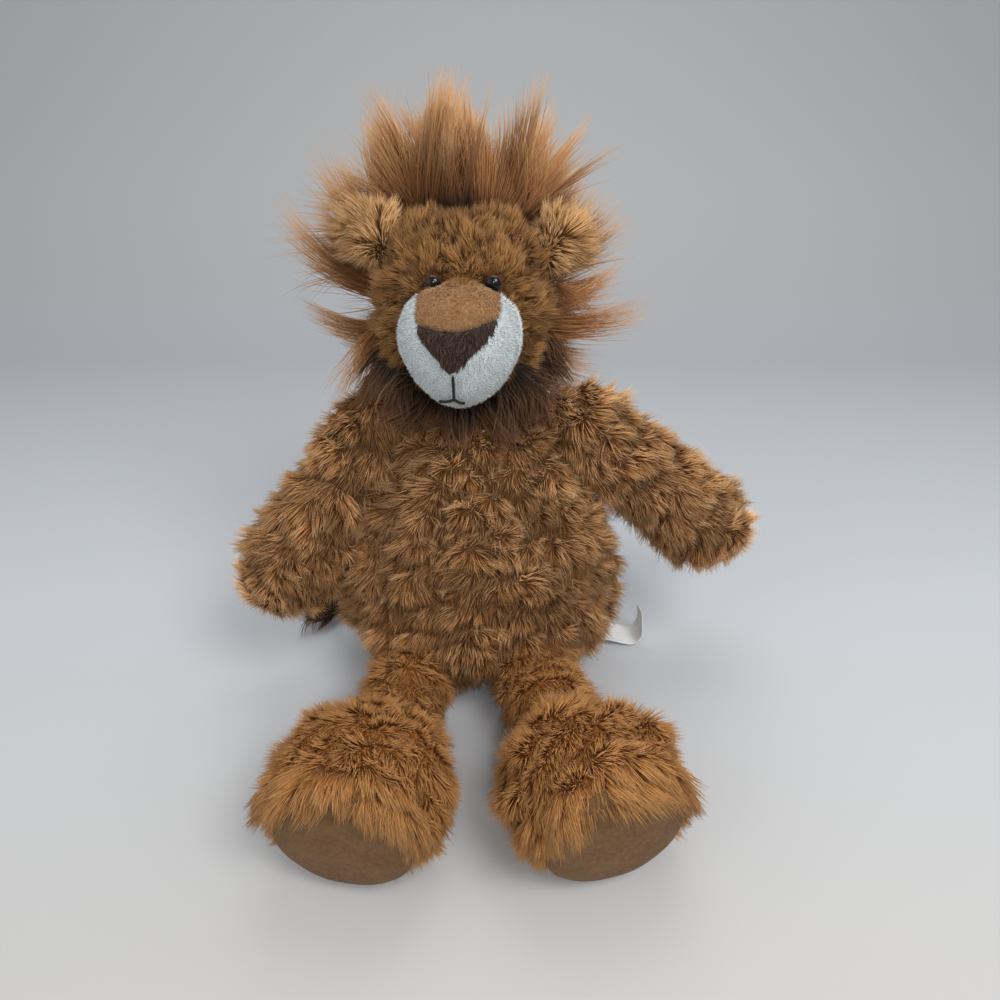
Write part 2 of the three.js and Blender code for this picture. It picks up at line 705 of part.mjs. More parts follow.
const headRoom = headShape(fitGap);
const muzzleShape = (grow) => stuffedForm(muzzle, grow);
add('muzzle', cutBy(solidOf(muzzleShape(0)), headRoom, ...eyeRooms.map((room) => room.dome)), whiteVelour);

/** A panel that lies on the muzzle within a front outline. */
function muzzlePanel(outline, thickness) {
  const shape = new THREE.Shape(outline.map(([x, z]) => new THREE.Vector2(x, z)));
  const prism = frontPrism(shape, headCentre.y, muzzleFront - muzzleReach * 2);
  const panel = solidOf(muzzleShape(fitGap + thickness)).subtract(solidOf(muzzleShape(fitGap)));
  return cutBy(panel.intersect(solidOf(prism)), headRoom, ...eyeRooms.map((room) => room.dome));
}

const noseTip = muzzleCentre.z - noseTipBelow;
const noseTop = noseTip + noseHeight;
const bridgeTop = noseTop + bridgeHeight;
const bridgeWaistShare = 0.35;
const noseHalf = noseWidth * half;
const bridgeOutline = [
  [-noseHalf, noseTop + fitGap], [noseHalf, noseTop + fitGap],
  [bridgeWidth * half, noseTop + bridgeHeight * bridgeWaistShare],
  [bridgeTopWidth * half, bridgeTop], [-bridgeTopWidth * half, bridgeTop],
  [-bridgeWidth * half, noseTop + bridgeHeight * bridgeWaistShare],
].map(([x, z]) => [headCentre.x + x, z]);
const noseCornerShare = 0.12;
const noseOutline = [
  [-noseHalf * noseCornerShare, noseTip + noseHeight * noseCornerShare * half],
  [0, noseTip],
  [noseHalf * noseCornerShare, noseTip + noseHeight * noseCornerShare * half],
  [noseHalf, noseTop - noseHeight * noseCornerShare], [noseHalf * (1 - noseCornerShare), noseTop],
  [-noseHalf * (1 - noseCornerShare), noseTop], [-noseHalf, noseTop - noseHeight * noseCornerShare],
].map(([x, z]) => [headCentre.x + x, z]);
add('muzzle_bridge', muzzlePanel(bridgeOutline, velourThickness), tanVelour);
add('nose_patch', muzzlePanel(noseOutline, noseThickness), brownThread);

/** The mouth: a line down from the nose that ends in two upward curls, sewn in one thread. */
function mouthThread() {
  const skin = muzzleShape(fitGap * 2 + threadRadius);
  const on = (x, z) => surfacePoint(skin, new THREE.Vector3(
    headCentre.x + x, muzzleFront - muzzleReach * 2, z), axisY);
  const start = noseTip - fitGap * 2;
  const line = new THREE.CatmullRomCurve3(
    mouthLineShares.map((share) => on(0, start - mouthLength * share)));
  const curl = new THREE.CatmullRomCurve3(mouthCurlShares.map((share) => on(
    mouthWidth * half * share, start - mouthLength - mouthCurl * (Math.abs(share) - share ** 2) * 2)));
  return joined(strand(line, threadRadius, lockRings), strand(curl, threadRadius, smallSides));
}
add('mouth_stitch', mouthThread(), brownThread);

for (const [side, sign] of [['right', -1], ['left', 1]]) {
  const { flap, core } = earForm(sign);
  const own = cutBy(solidOf(flap), headRoom).add(solidOf(core));
  add(`${side}_ear`, own, bodyFur);
}

// Mane: strips of long hair around the head, each with its brushed-out locks

const maneLevels = {
  top: { from: 52, to: 128, shares: [0.9, 0.98, 0.86, 0.96, 0.9, 1, 0.88] },
  right: { from: 131, to: 213, shares: [0.95, 0.86, 0.94, 0.82, 0.88, 0.66] },
  left: { from: 49, to: -33, shares: [0.92, 0.88, 0.82, 0.88, 0.78, 0.64] },
};
const maneSkin = stuffedForm(head, fitGap + maneThickness, true);
const maneOutward = (turn) => new THREE.Vector3(Math.cos(turn * degrees), 0, Math.sin(turn * degrees));

/** A tapered lock of hair from a root on the strip to its tip. */
function lock(rootPoint, way, length, lean) {
  const start = rootPoint.clone().addScaledVector(way, -maneThickness * half);
  const middle = start.clone().addScaledVector(way, length * half);
  const end = start.clone().addScaledVector(way, length).add(lean);
  return stuffedForm({
    spine: new THREE.QuadraticBezierCurve3(start, middle, end),
    girth: (t) => {
      const radius = THREE.MathUtils.lerp(lockRadius, lockTipRadius, t ** lockTaper);
      return { across: radius, deep: radius };
    },
    side: new THREE.Vector3(-way.z, way.x, way.y),
    sides: lockSides,
    rings: lockRings,
    capSteps: 1,
    root: { length: maneThickness * half * half },
    tip: { length: lockTipRadius * 2 },
  });
}

/** One stretch of the strip between two turns around the head, with its locks. */
function maneSection({ from, to, shares }) {
  const reach = headWidth * 2;
  const sector = new THREE.Shape([new THREE.Vector2(), ...[0, half, 1].map((share) => {
    const way = maneOutward(THREE.MathUtils.lerp(from, to, share)).multiplyScalar(reach);
    return new THREE.Vector2(way.x, way.z);
  })]);
  const slab = frontPrism(sector, maneStart + maneStripWidth, maneStart);
  let solid = solidOf(maneSkin).intersect(solidOf(slab));
  shares.forEach((share, i) => {
    const inset = Math.sign(to - from) * lockMarginDegrees;
    const turn = THREE.MathUtils.lerp(from + inset, to - inset, i / (shares.length - 1));
    const way = maneOutward(turn);
    const stagger = (i % 2 ? 1 : -1) * (maneStripWidth * half - lockRadius);
    const middle = new THREE.Vector3(0, maneStart + maneStripWidth * half + stagger, 0);
    const lean = new THREE.Vector3(0, stagger * 2, lockLength * lockSwayShare * (i % 2 ? 1 : -1));
    solid = solid.add(solidOf(lock(surfacePoint(maneSkin, middle, way), way, lockLength * share, lean)));
  });
  return cutBy(solidOf(moved(geometryOf(solid), headPlace)), headRoom);
}

for (const [name, level] of Object.entries(maneLevels)) {
  add(`mane_${name}`, maneSection(level), maneHair);
}

/** The back of the head: a cap of the same hair, its locks brushed down and outwards. */
function maneBack() {
  const start = maneStart + maneStripWidth + fitGap;
  const slab = new THREE.BoxGeometry(headWidth * 2, headDepth, headHeight * 2)
    .translate(0, start + headDepth * half, 0);
  let solid = solidOf(maneSkin).intersect(solidOf(slab));
  for (const turn of backLockTurns) {
    const way = maneOutward(turn).addScaledVector(axisY, 1).normalize();
    const root = surfacePoint(maneSkin, new THREE.Vector3(0, start - lockRadius, 0), way);
    const lean = new THREE.Vector3(0, 0, -backLockLength * backLockDropShare);
    solid = solid.add(solidOf(lock(root, way, backLockLength, lean)));
  }
  const front = new THREE.BoxGeometry(headWidth * 2, headDepth * 2, headHeight * 4)
    .translate(0, start - headDepth, 0);
  return cutBy(solidOf(moved(geometryOf(solid.subtract(solidOf(front))), headPlace)), headRoom);
}
add('mane_back', maneBack(), maneHair);

// Arms: built in their lowest pose, where the belly shapes them, then raised to where they rest

for (const [side, sign, raise] of [['right', -1, 0], ['left', 1, leftArmRaiseDegrees]]) {
  const inward = new THREE.Matrix4().copy(armTurn(sign, 0)).setPosition(shoulder(sign)).invert();
  const belly = (grow, inside = true) => moved(geometryOf(torsoSolid(grow, inside)), inward);
  const hole = moved(bar(shoulder(sign), shoulder(sign).add(
    new THREE.Vector3(-sign * (armRootRadius + overrun), 0, 0)), armHoleRadius), inward);
  const group = new THREE.Group();
  group.position.copy(shoulder(sign));
  group.quaternion.setFromRotationMatrix(armTurn(sign, raise));
  object.add(group);
  const outside = cutBy(solidOf(stuffedForm(arm)), belly(limbGap, false));
  const cavity = cutBy(solidOf(stuffedForm(arm, -furThickness)), belly(furThickness + limbGap));
  add(`${side}_arm_cover`, cutBy(outside.subtract(cavity), hole), bodyFur, group);
  add(`${side}_arm_filling`, cutBy(solidOf(stuffedForm(arm, -furThickness - fitGap)),
    belly(furThickness + limbGap + fitGap)), filling, group);
}

// Legs and feet

const legFloor = underLevel(-hipRise, torsoWidth * 2);
const footEnd = anklePivot.y - footLength;
const ankleRoom = (room) => [-ankleDownDegrees, ankleUpDegrees].map((turn) => bar(
  anklePivot, anklePivot.clone().add(new THREE.Vector3(0, legReach, 0)
    .applyAxisAngle(axisX, turn * degrees)), legCalfRadius + room, limbSides));

/** The foot form with the seat for the ankle. */
const footSolid = (grow) => cutBy(solidOf(stuffedForm(foot, grow)),
  seat(anklePivot, ankleRadius, grow), ...ankleRoom(turnGap(ankleRadius) - grow));

/** An oval prism across the foot, from one distance ahead of the ankle to another. */
function soleOval(width, height, from, to) {
  const oval = new THREE.Shape().absellipse(0, footMiddle, width * half, height * half, 0, Math.PI * 2);
  return new THREE.ExtrudeGeometry(oval, {
    depth: to - from, bevelEnabled: false, curveSegments: smallSides * half,
  }).applyMatrix4(new THREE.Matrix4().makeBasis(axisX, axisZ, axisY.clone().negate()))
    .translate(0, anklePivot.y - from, 0);
}

for (const [side, sign] of [['right', -1], ['left', 1]]) {
  const group = new THREE.Group();
  group.applyMatrix4(legTurn(sign, 0));
  object.add(group);
  const fillHole = bar(anklePivot, anklePivot.clone().setY(
    anklePivot.y - ankleRadius - overrun), legHoleRadius);
  add(`${side}_leg_cover`, cutBy(solidOf(stuffedForm(leg)), stuffedForm(leg, -furThickness),
    fillHole, legFloor), bodyFur, group);
  add(`${side}_leg_filling`, stuffedForm(leg, -furThickness - fitGap), filling, group);
  const ahead = new THREE.BoxGeometry(footWidth * 2, footLength, footHeight * 2)
    .translate(0, footEnd - footLength * half, 0);
  const window = soleOval(soleWidth - soleSeamWidth * 2, soleHeight - soleSeamWidth * 2,
    footLength * half, footLength + overrun);
  const cover = footSolid(0).subtract(footSolid(-furThickness));
  add(`${side}_foot_cover`, cutBy(cover, ahead, window, legFloor), footFur, group);
  add(`${side}_foot_filling`, footSolid(-furThickness - fitGap), filling, group);
  add(`${side}_sole`, soleOval(soleWidth, soleHeight, footLength + fitGap,
    footLength + fitGap + feltThickness), soleSuede, group);
}

// Tail

const tailPlace = new THREE.Matrix4().setPosition(tailPivot);
const tailGroup = new THREE.Group();
tailGroup.applyMatrix4(tailPlace);
object.add(tailGroup);
const tailFloor = underLevel(floorCut - tailRadius, torsoWidth * 2);
const torsoFromTail = moved(geometryOf(torsoSolid(fitGap)), tailPlace.clone().invert());
add('tail_cover', cutBy(solidOf(stuffedForm(tail)), torsoFromTail, tailFloor), bodyFur, tailGroup);
const tuftStart = tailSpine.getPoint(1);
const tuftWay = tailSpine.getTangent(1);
const tuftShares = smoothShares([0.75, 1, 0.9, 0.5]);
const tuft = {
  spine: new THREE.LineCurve3(tuftStart, tuftStart.clone().addScaledVector(tuftWay, tuftLength)),
  girth: (t) => ({ across: tailRadius * tuftShares(t), deep: tuftRadius * tuftShares(t) }),
  side: axisZ,
  sides: smallSides,
  rings: limbRings,
  root: { length: tailRadius * half },
  tip: { length: tuftRadius },
};
add('tail_tuft', cutBy(solidOf(stuffedForm(tuft)), stuffedForm(tail, fitGap), tailFloor),
  maneHair, tailGroup);

// Label: a bare strip of tape sewn into the left side seam

const labelRoot = surfacePoint(geometryOf(torsoSolid(fitGap)),
  new THREE.Vector3(torsoWidth, 0, labelRise), axisX.clone().negate());
const labelLine = new THREE.SplineCurve([
  new THREE.Vector2(labelRootGap, 0),
  new THREE.Vector2(labelReach * half, -labelRise * labelDropShare * half),
  new THREE.Vector2(labelReach, -labelRise * labelDropShare),
  new THREE.Vector2(labelReach + labelCurl * half, labelCurl * half - labelRise * labelDropShare),
  new THREE.Vector2(labelReach + labelCurl * half, labelCurl),
]);
const labelEdge = (offset) => Array.from({ length: limbRings * 2 + 1 }, (unused, i) => {
  const t = i / (limbRings * 2);
  const way = labelLine.getTangent(t);
  return labelLine.getPoint(t).add(new THREE.Vector2(-way.y, way.x).multiplyScalar(offset));
});
const labelShape = new THREE.Shape([
  ...labelEdge(-labelThickness * half), ...labelEdge(labelThickness * half).reverse()]);
const label = frontPrism(labelShape, labelWidth * half, -labelWidth * half);
add('care_label', label, labelTape).position.copy(labelRoot);

export default object;
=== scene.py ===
"""A seated plush lion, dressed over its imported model.

Every cover is a stuffed skin that a cloth simulation swells, planted with pile by Geometry Nodes.
Metres, +Z up, the lion looks along -Y, and its own right side is -X.
"""

from __future__ import annotations

import logging
import math
from dataclasses import dataclass, field, replace
from enum import Enum
from typing import Callable, Sequence

import bmesh
import bpy
import numpy as np
from mathutils import Matrix, Vector, noise
from mathutils.bvhtree import BVHTree
from mathutils.geometry import delaunay_2d_cdt

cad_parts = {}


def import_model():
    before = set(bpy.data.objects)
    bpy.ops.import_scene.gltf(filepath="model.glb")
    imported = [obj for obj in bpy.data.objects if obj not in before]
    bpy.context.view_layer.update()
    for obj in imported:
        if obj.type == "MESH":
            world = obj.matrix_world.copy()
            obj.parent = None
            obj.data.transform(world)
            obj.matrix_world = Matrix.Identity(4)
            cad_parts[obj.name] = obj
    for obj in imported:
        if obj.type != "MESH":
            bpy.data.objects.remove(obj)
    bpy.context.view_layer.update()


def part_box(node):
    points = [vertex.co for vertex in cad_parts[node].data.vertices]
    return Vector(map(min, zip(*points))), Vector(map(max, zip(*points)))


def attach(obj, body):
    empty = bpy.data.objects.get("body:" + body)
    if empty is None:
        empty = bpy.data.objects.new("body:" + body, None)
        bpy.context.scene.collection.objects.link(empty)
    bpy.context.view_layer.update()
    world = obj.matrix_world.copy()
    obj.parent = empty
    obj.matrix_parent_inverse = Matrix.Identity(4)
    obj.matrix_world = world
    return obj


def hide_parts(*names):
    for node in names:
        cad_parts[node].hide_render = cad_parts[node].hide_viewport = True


log = logging.getLogger("plush_lion")

Colour = tuple[float, float, float]
Point = tuple[float, float, float]
Shares = tuple[float, ...]
Rows = np.ndarray
Piece = bpy.types.Object
Material = bpy.types.Material
Share = Callable[[Rows, Rows], Rows]
Outline = Sequence[tuple[float, float]]
MAP_NAME = "OFBake"
TINY = 1e-6
FLOOR_GAP = 0.0006  # how far the pile stays above the floor
FAR_INSIDE = 0.05  # beyond this the side that the nearest face gives isn't sure


def paint(red: int, green: int, blue: int) -> Colour:
    """Turns a colour as a screen shows it into a linear one.

    Args:
        red: 0 to 255.
        green: 0 to 255.
        blue: 0 to 255.

    Returns:
        The linear colour.
    """
    return tuple((c / 255 / 12.92) if c <= 10 else ((c / 255 + 0.055) / 1.055) ** 2.4 for c in (red, green, blue))


def unit(rows: Rows, least: float = TINY) -> Rows:
    """Rows at unit length, apart from those shorter than the least length."""
    return rows / np.maximum(np.linalg.norm(rows, axis=1, keepdims=True), least)


def placed(place: Matrix, rows: Rows) -> Rows:
    """Moves rows of points by a matrix."""
    return rows @ np.array(place.to_3x3()).T + np.array(place.translation[:])


def same(share: float) -> Share:
    """A share that is the same all over a skin."""
    return lambda places, up: np.full(len(places), share)


def one_way(way: Sequence[float]) -> Share:
    """A direction that is the same all over a skin."""
    return lambda places, up: np.tile(np.array(way[:]), (len(places), 1))


class Side(Enum):
    """The lion's own two sides, each with its direction along X."""

    RIGHT = -1
    LEFT = 1

    @property
    def word(self) -> str:
        """The side's name in a piece's name."""
        return self.name.lower()


# Materials


class Nodes:
    """A material's node tree, with a short way to add and join nodes."""

    def __init__(self, name: str) -> None:
        """Starts an empty material with its output."""
        self.material = bpy.data.materials.new(name)
        self.material.use_nodes = True
        self.tree = self.material.node_tree
        self.tree.nodes.clear()
        self.shader = self.add("ShaderNodeBsdfPrincipled")
        out = self.add("ShaderNodeOutputMaterial")
        self.join(self.shader, "BSDF", out, "Surface")

    def add(self, kind: str, **values: object) -> bpy.types.Node:
        """Adds a node.

        Args:
            kind: The node's type.
            values: Its properties, or its inputs where a name is one.

        Returns:
            The node.
        """
        node = self.tree.nodes.new(kind)
        for name, value in values.items():
            title = name.replace("_", " ")
            if hasattr(node, name):
                setattr(node, name, value)
            else:
                node.inputs[title].default_value = value
        return node

    def join(self, start: bpy.types.Node, output: str, end: bpy.types.Node, entry: str | int) -> None:
        """Joins one node's output to another's input."""
        self.tree.links.new(start.outputs[output], end.inputs[entry])

    def ramp(self, stops: Sequence[tuple[float, Colour]]) -> bpy.types.Node:
        """Adds a colour ramp.

        Args:
            stops: Places along the ramp and their colours.

        Returns:
            The node.
        """
        node = self.tree.nodes.new("ShaderNodeValToRGB")
        while len(node.color_ramp.elements) < len(stops):
            node.color_ramp.elements.new(0.5)
        for element, (place, colour) in zip(node.color_ramp.elements, stops):
            element.position = place
            element.color = (*colour, 1)
        return node

    def bump(self, height: bpy.types.Node, distance: float) -> None:
        """Raises the surface by a pattern's height."""
        node = self.add("ShaderNodeBump", Strength=0.6, Distance=distance)
        self.join(height, "Fac", node, "Height")
        self.join(node, "Normal", self.shader, "Normal")

    def finished(self, colour: bpy.types.Node, output: str, **values: float) -> Material:
        """Colours and sets the shader.

        Args:
            colour: The node that gives the colour.
            output: That node's output.
            values: The shader's inputs.

        Returns:
            The material.
        """
        self.join(colour, output, self.shader, "Base Color")
        for name, value in values.items():
            self.shader.inputs[name.replace("_", " ")].default_value = value
        return self.material


@dataclass(frozen=True)
class StrandFinish:
    """Fibre whose colour runs from a darker root to a lighter tip, partly its own tone and partly painted shade deep
    in the pile and painted light at its surface, and differs from strand to strand.
    """

    name: str
    root: Colour
    middle: Colour
    tip: Colour
    spread: float = 0.45
    roughness: float = 0.72
    sheen: float = 0.08

    def make(self) -> Material:
        """Builds the material: its map holds the strand's tone along and its length across."""
        nodes = Nodes(self.name)
        place = nodes.add("ShaderNodeUVMap", uv_map=MAP_NAME)
        parts = nodes.add("ShaderNodeSeparateXYZ")
        nodes.join(place, "UV", parts, "Vector")
        # The ramp's dark root is partly painted shade deep in the pile, and its light tip partly painted light.
        ramp = nodes.ramp([(0.0, self.root), (0.42, self.middle), (1.0, self.tip)])
        nodes.join(parts, "Y", ramp, "Fac")
        tone = nodes.add("ShaderNodeMapRange", To_Min=1 - self.spread, To_Max=1 + self.spread)
        nodes.join(parts, "X", tone, "Value")
        streak = nodes.add("ShaderNodeTexNoise", Scale=60.0, Detail=3.0)
        nodes.join(place, "UV", streak, "Vector")
        fine = nodes.add("ShaderNodeMapRange", To_Min=0.82, To_Max=1.18)
        nodes.join(streak, "Fac", fine, "Value")
        both = nodes.add("ShaderNodeMath", operation="MULTIPLY")
        nodes.join(tone, "Result", both, 0)
        nodes.join(fine, "Result", both, 1)
        colour = nodes.add("ShaderNodeVectorMath", operation="SCALE")
        nodes.join(ramp, "Color", colour, "Vector")
        nodes.join(both, "Value", colour, "Scale")
        sheen = {"Sheen_Weight": self.sheen, "Sheen_Roughness": 0.5}
        return nodes.finished(colour, "Vector", Roughness=self.roughness, Specular_IOR_Level=0.3, **sheen)


@dataclass(frozen=True)
class ClothFinish:
    """Cloth with a fine mottle: knitted backing, suede, velour, tape or fibre filling."""

    name: str
    low: Colour
    high: Colour
    grain: float
    relief: float = 0.0004
    roughness: float = 0.9
    sheen: float = 0.2
    weave: float = 0.0

    def make(self) -> Material:
        """Builds the material from two noises and, where the cloth is woven, its threads."""
        nodes = Nodes(self.name)
        place = nodes.add("ShaderNodeTexCoord")
        wide = nodes.add("ShaderNodeTexNoise", Scale=self.grain * 0.12, Detail=3.0)
        fine = nodes.add("ShaderNodeTexNoise", Scale=self.grain, Detail=4.0)
        for pattern in (wide, fine):
            nodes.join(place, "Object", pattern, "Vector")
        mixed = nodes.add("ShaderNodeMix", data_type="FLOAT")
        mixed.inputs[0].default_value = 0.6
        nodes.join(wide, "Fac", mixed, 2)
        nodes.join(fine, "Fac", mixed, 3)
        ramp = nodes.ramp([(0.32, self.low), (0.68, self.high)])
        nodes.tree.links.new(mixed.outputs[0], ramp.inputs["Fac"])
        height = fine
        if self.weave:
            height = nodes.add("ShaderNodeTexWave", Scale=self.weave, Distortion=0.6, Detail=1.0)
            nodes.join(place, "Object", height, "Vector")
        nodes.bump(height, self.relief)
        shine = {"Roughness": self.roughness, "Specular_IOR_Level": 0.25, "Sheen_Weight": self.sheen}
        return nodes.finished(ramp, "Color", **shine)


@dataclass(frozen=True)
class EyeFinish:
    """A black pupil under clear plastic, with a reddish-brown rim."""

    name: str
    centre: Point
    radius: float
    pupil: Colour = paint(9, 7, 7)
    rim: Colour = paint(74, 40, 28)

    def make(self) -> Material:
        """Builds the material: the distance from the eye's axis picks its colour."""
        nodes = Nodes(self.name)
        place = nodes.add("ShaderNodeTexCoord")
        offset = nodes.add("ShaderNodeVectorMath", operation="SUBTRACT")
        offset.inputs[1].default_value = self.centre
        nodes.join(place, "Object", offset, 0)
        flat = nodes.add("ShaderNodeVectorMath", operation="MULTIPLY")
        flat.inputs[1].default_value = (1 / self.radius, 0, 1 / self.radius)
        nodes.join(offset, "Vector", flat, 0)
        size = nodes.add("ShaderNodeVectorMath", operation="LENGTH")
        nodes.join(flat, "Vector", size, 0)
        ramp = nodes.ramp([(0.0, self.pupil), (0.82, self.pupil), (0.9, self.rim), (1.0, self.rim)])
        nodes.join(size, "Value", ramp, "Fac")
        plastic = {"Roughness": 0.06, "Specular_IOR_Level": 0.25, "Coat_Weight": 0.25, "Coat_Roughness": 0.03}
        return nodes.finished(ramp, "Color", **plastic)


@dataclass(frozen=True)
class MuzzleFinish:
    """The muzzle's knitted ground: white below the brow and golden above it."""

    name: str
    brow: float
    white: Colour = paint(190, 197, 199)
    golden: Colour = paint(112, 76, 42)

    def make(self) -> Material:
        """Builds the material: height picks the yarn."""
        nodes = Nodes(self.name)
        place = nodes.add("ShaderNodeTexCoord")
        parts = nodes.add("ShaderNodeSeparateXYZ")
        nodes.join(place, "Object", parts, "Vector")
        rise = nodes.add("ShaderNodeMapRange", From_Min=self.brow - 0.0006, From_Max=self.brow + 0.0006)
        nodes.join(parts, "Z", rise, "Value")
        ramp = nodes.ramp([(0.0, self.white), (1.0, self.golden)])
        nodes.join(rise, "Result", ramp, "Fac")
        knit = nodes.add("ShaderNodeTexNoise", Scale=900.0, Detail=3.0)
        nodes.join(place, "Object", knit, "Vector")
        nodes.bump(knit, 0.0004)
        return nodes.finished(ramp, "Color", Roughness=0.9)


# Forms


def smooth(shares: Sequence[float]) -> Callable[[float], float]:
    """A smooth size through shares at even steps.

    Args:
        shares: The shares, from the root to the tip.

    Returns:
        A function of the place from 0 to 1.
    """
    values = [shares[0], *shares, shares[-1]]

    def at(t: float) -> float:
        """The size at a place, through the four shares around it."""
        x = min(max(t, 0.0), 1.0) * (len(shares) - 1)
        i = min(int(x), len(shares) - 2)
        f = x - i
        a, b, c, d = values[i : i + 4]
        return 0.5 * (2 * b + (c - a) * f + (2 * a - 5 * b + 4 * c - d) * f**2 + (3 * b - a - 3 * c + d) * f**3)

    return at


@dataclass
class Cap:
    """The rounded end of a form; a fuller cap is flatter."""

    length: float
    full: float = 2.0


@dataclass
class Form:
    """A stuffed form: rings around a spine, closed by a cap at each end.

    The girth gives the half sizes across and deep, and a taper narrows the side that the spine's
    third axis points to.
    """

    spine: Callable[[float], Vector]
    girth: Callable[[float], tuple[float, float]]
    root: Cap
    tip: Cap
    side: Vector = field(default_factory=lambda: Vector((1, 0, 0)))
    taper: float = 0.0
    straight: Vector | None = None
    sides: int = 40
    rings: int = 20
    cap_rings: int = 7

    def way(self, t: float) -> Vector:
        """The spine's direction at a place."""
        if self.straight:
            return self.straight
        return (self.spine(min(t + 0.01, 1.0)) - self.spine(max(t - 0.01, 0.0))).normalized()

    def mesh(self, name: str, grow: float = 0.0, place: Matrix | None = None) -> Piece:
        """Builds the form as a closed mesh.

        Args:
            name: The object's name.
            grow: How far the surface stands outside the form.
            place: Where the form goes.

        Returns:
            The object, with its place in its mesh.
        """
        points: list[Vector] = []

        def ring(centre: Vector, way: Vector, across: float, deep: float) -> None:
            """Adds one ring of points."""
            s = (self.side - way * self.side.dot(way)).normalized()
            u = way.cross(s)
            for k in range(self.sides):
                turn = math.tau * k / self.sides
                x = math.cos(turn) * (1 - self.taper * math.sin(turn)) * across
                points.append(centre + s * x + u * (math.sin(turn) * deep))

        def cap(t: float, end: Cap, sign: int) -> Vector:
            """Adds the rings of an end and gives back its outermost point."""
            centre, way = self.spine(t), self.way(t)
            across, deep = self.girth(t)
            steps = [(k + 1) / self.cap_rings for k in range(self.cap_rings - 1)]
            for step in steps if sign < 0 else reversed(steps):
                share = math.sin(step * math.pi / 2) ** (2 / end.full)
                out = math.cos(step * math.pi / 2) ** (2 / end.full)
                middle = centre + way * (out * sign * (end.length + grow))
                ring(middle, way, (across + grow) * share, (deep + grow) * share)
            return centre + way * (sign * (end.length + grow))

        low = cap(0, self.root, -1)
        for i in range(self.rings + 1):
            across, deep = self.girth(i / self.rings)
            ring(self.spine(i / self.rings), self.way(i / self.rings), across + grow, deep + grow)
        high = cap(1, self.tip, 1)
        faces = Shop.turned(len(points) // self.sides, self.sides)
        points += [low, high]
        if place:
            points = [place @ p for p in points]
        return Shop.piece(name, points, faces)


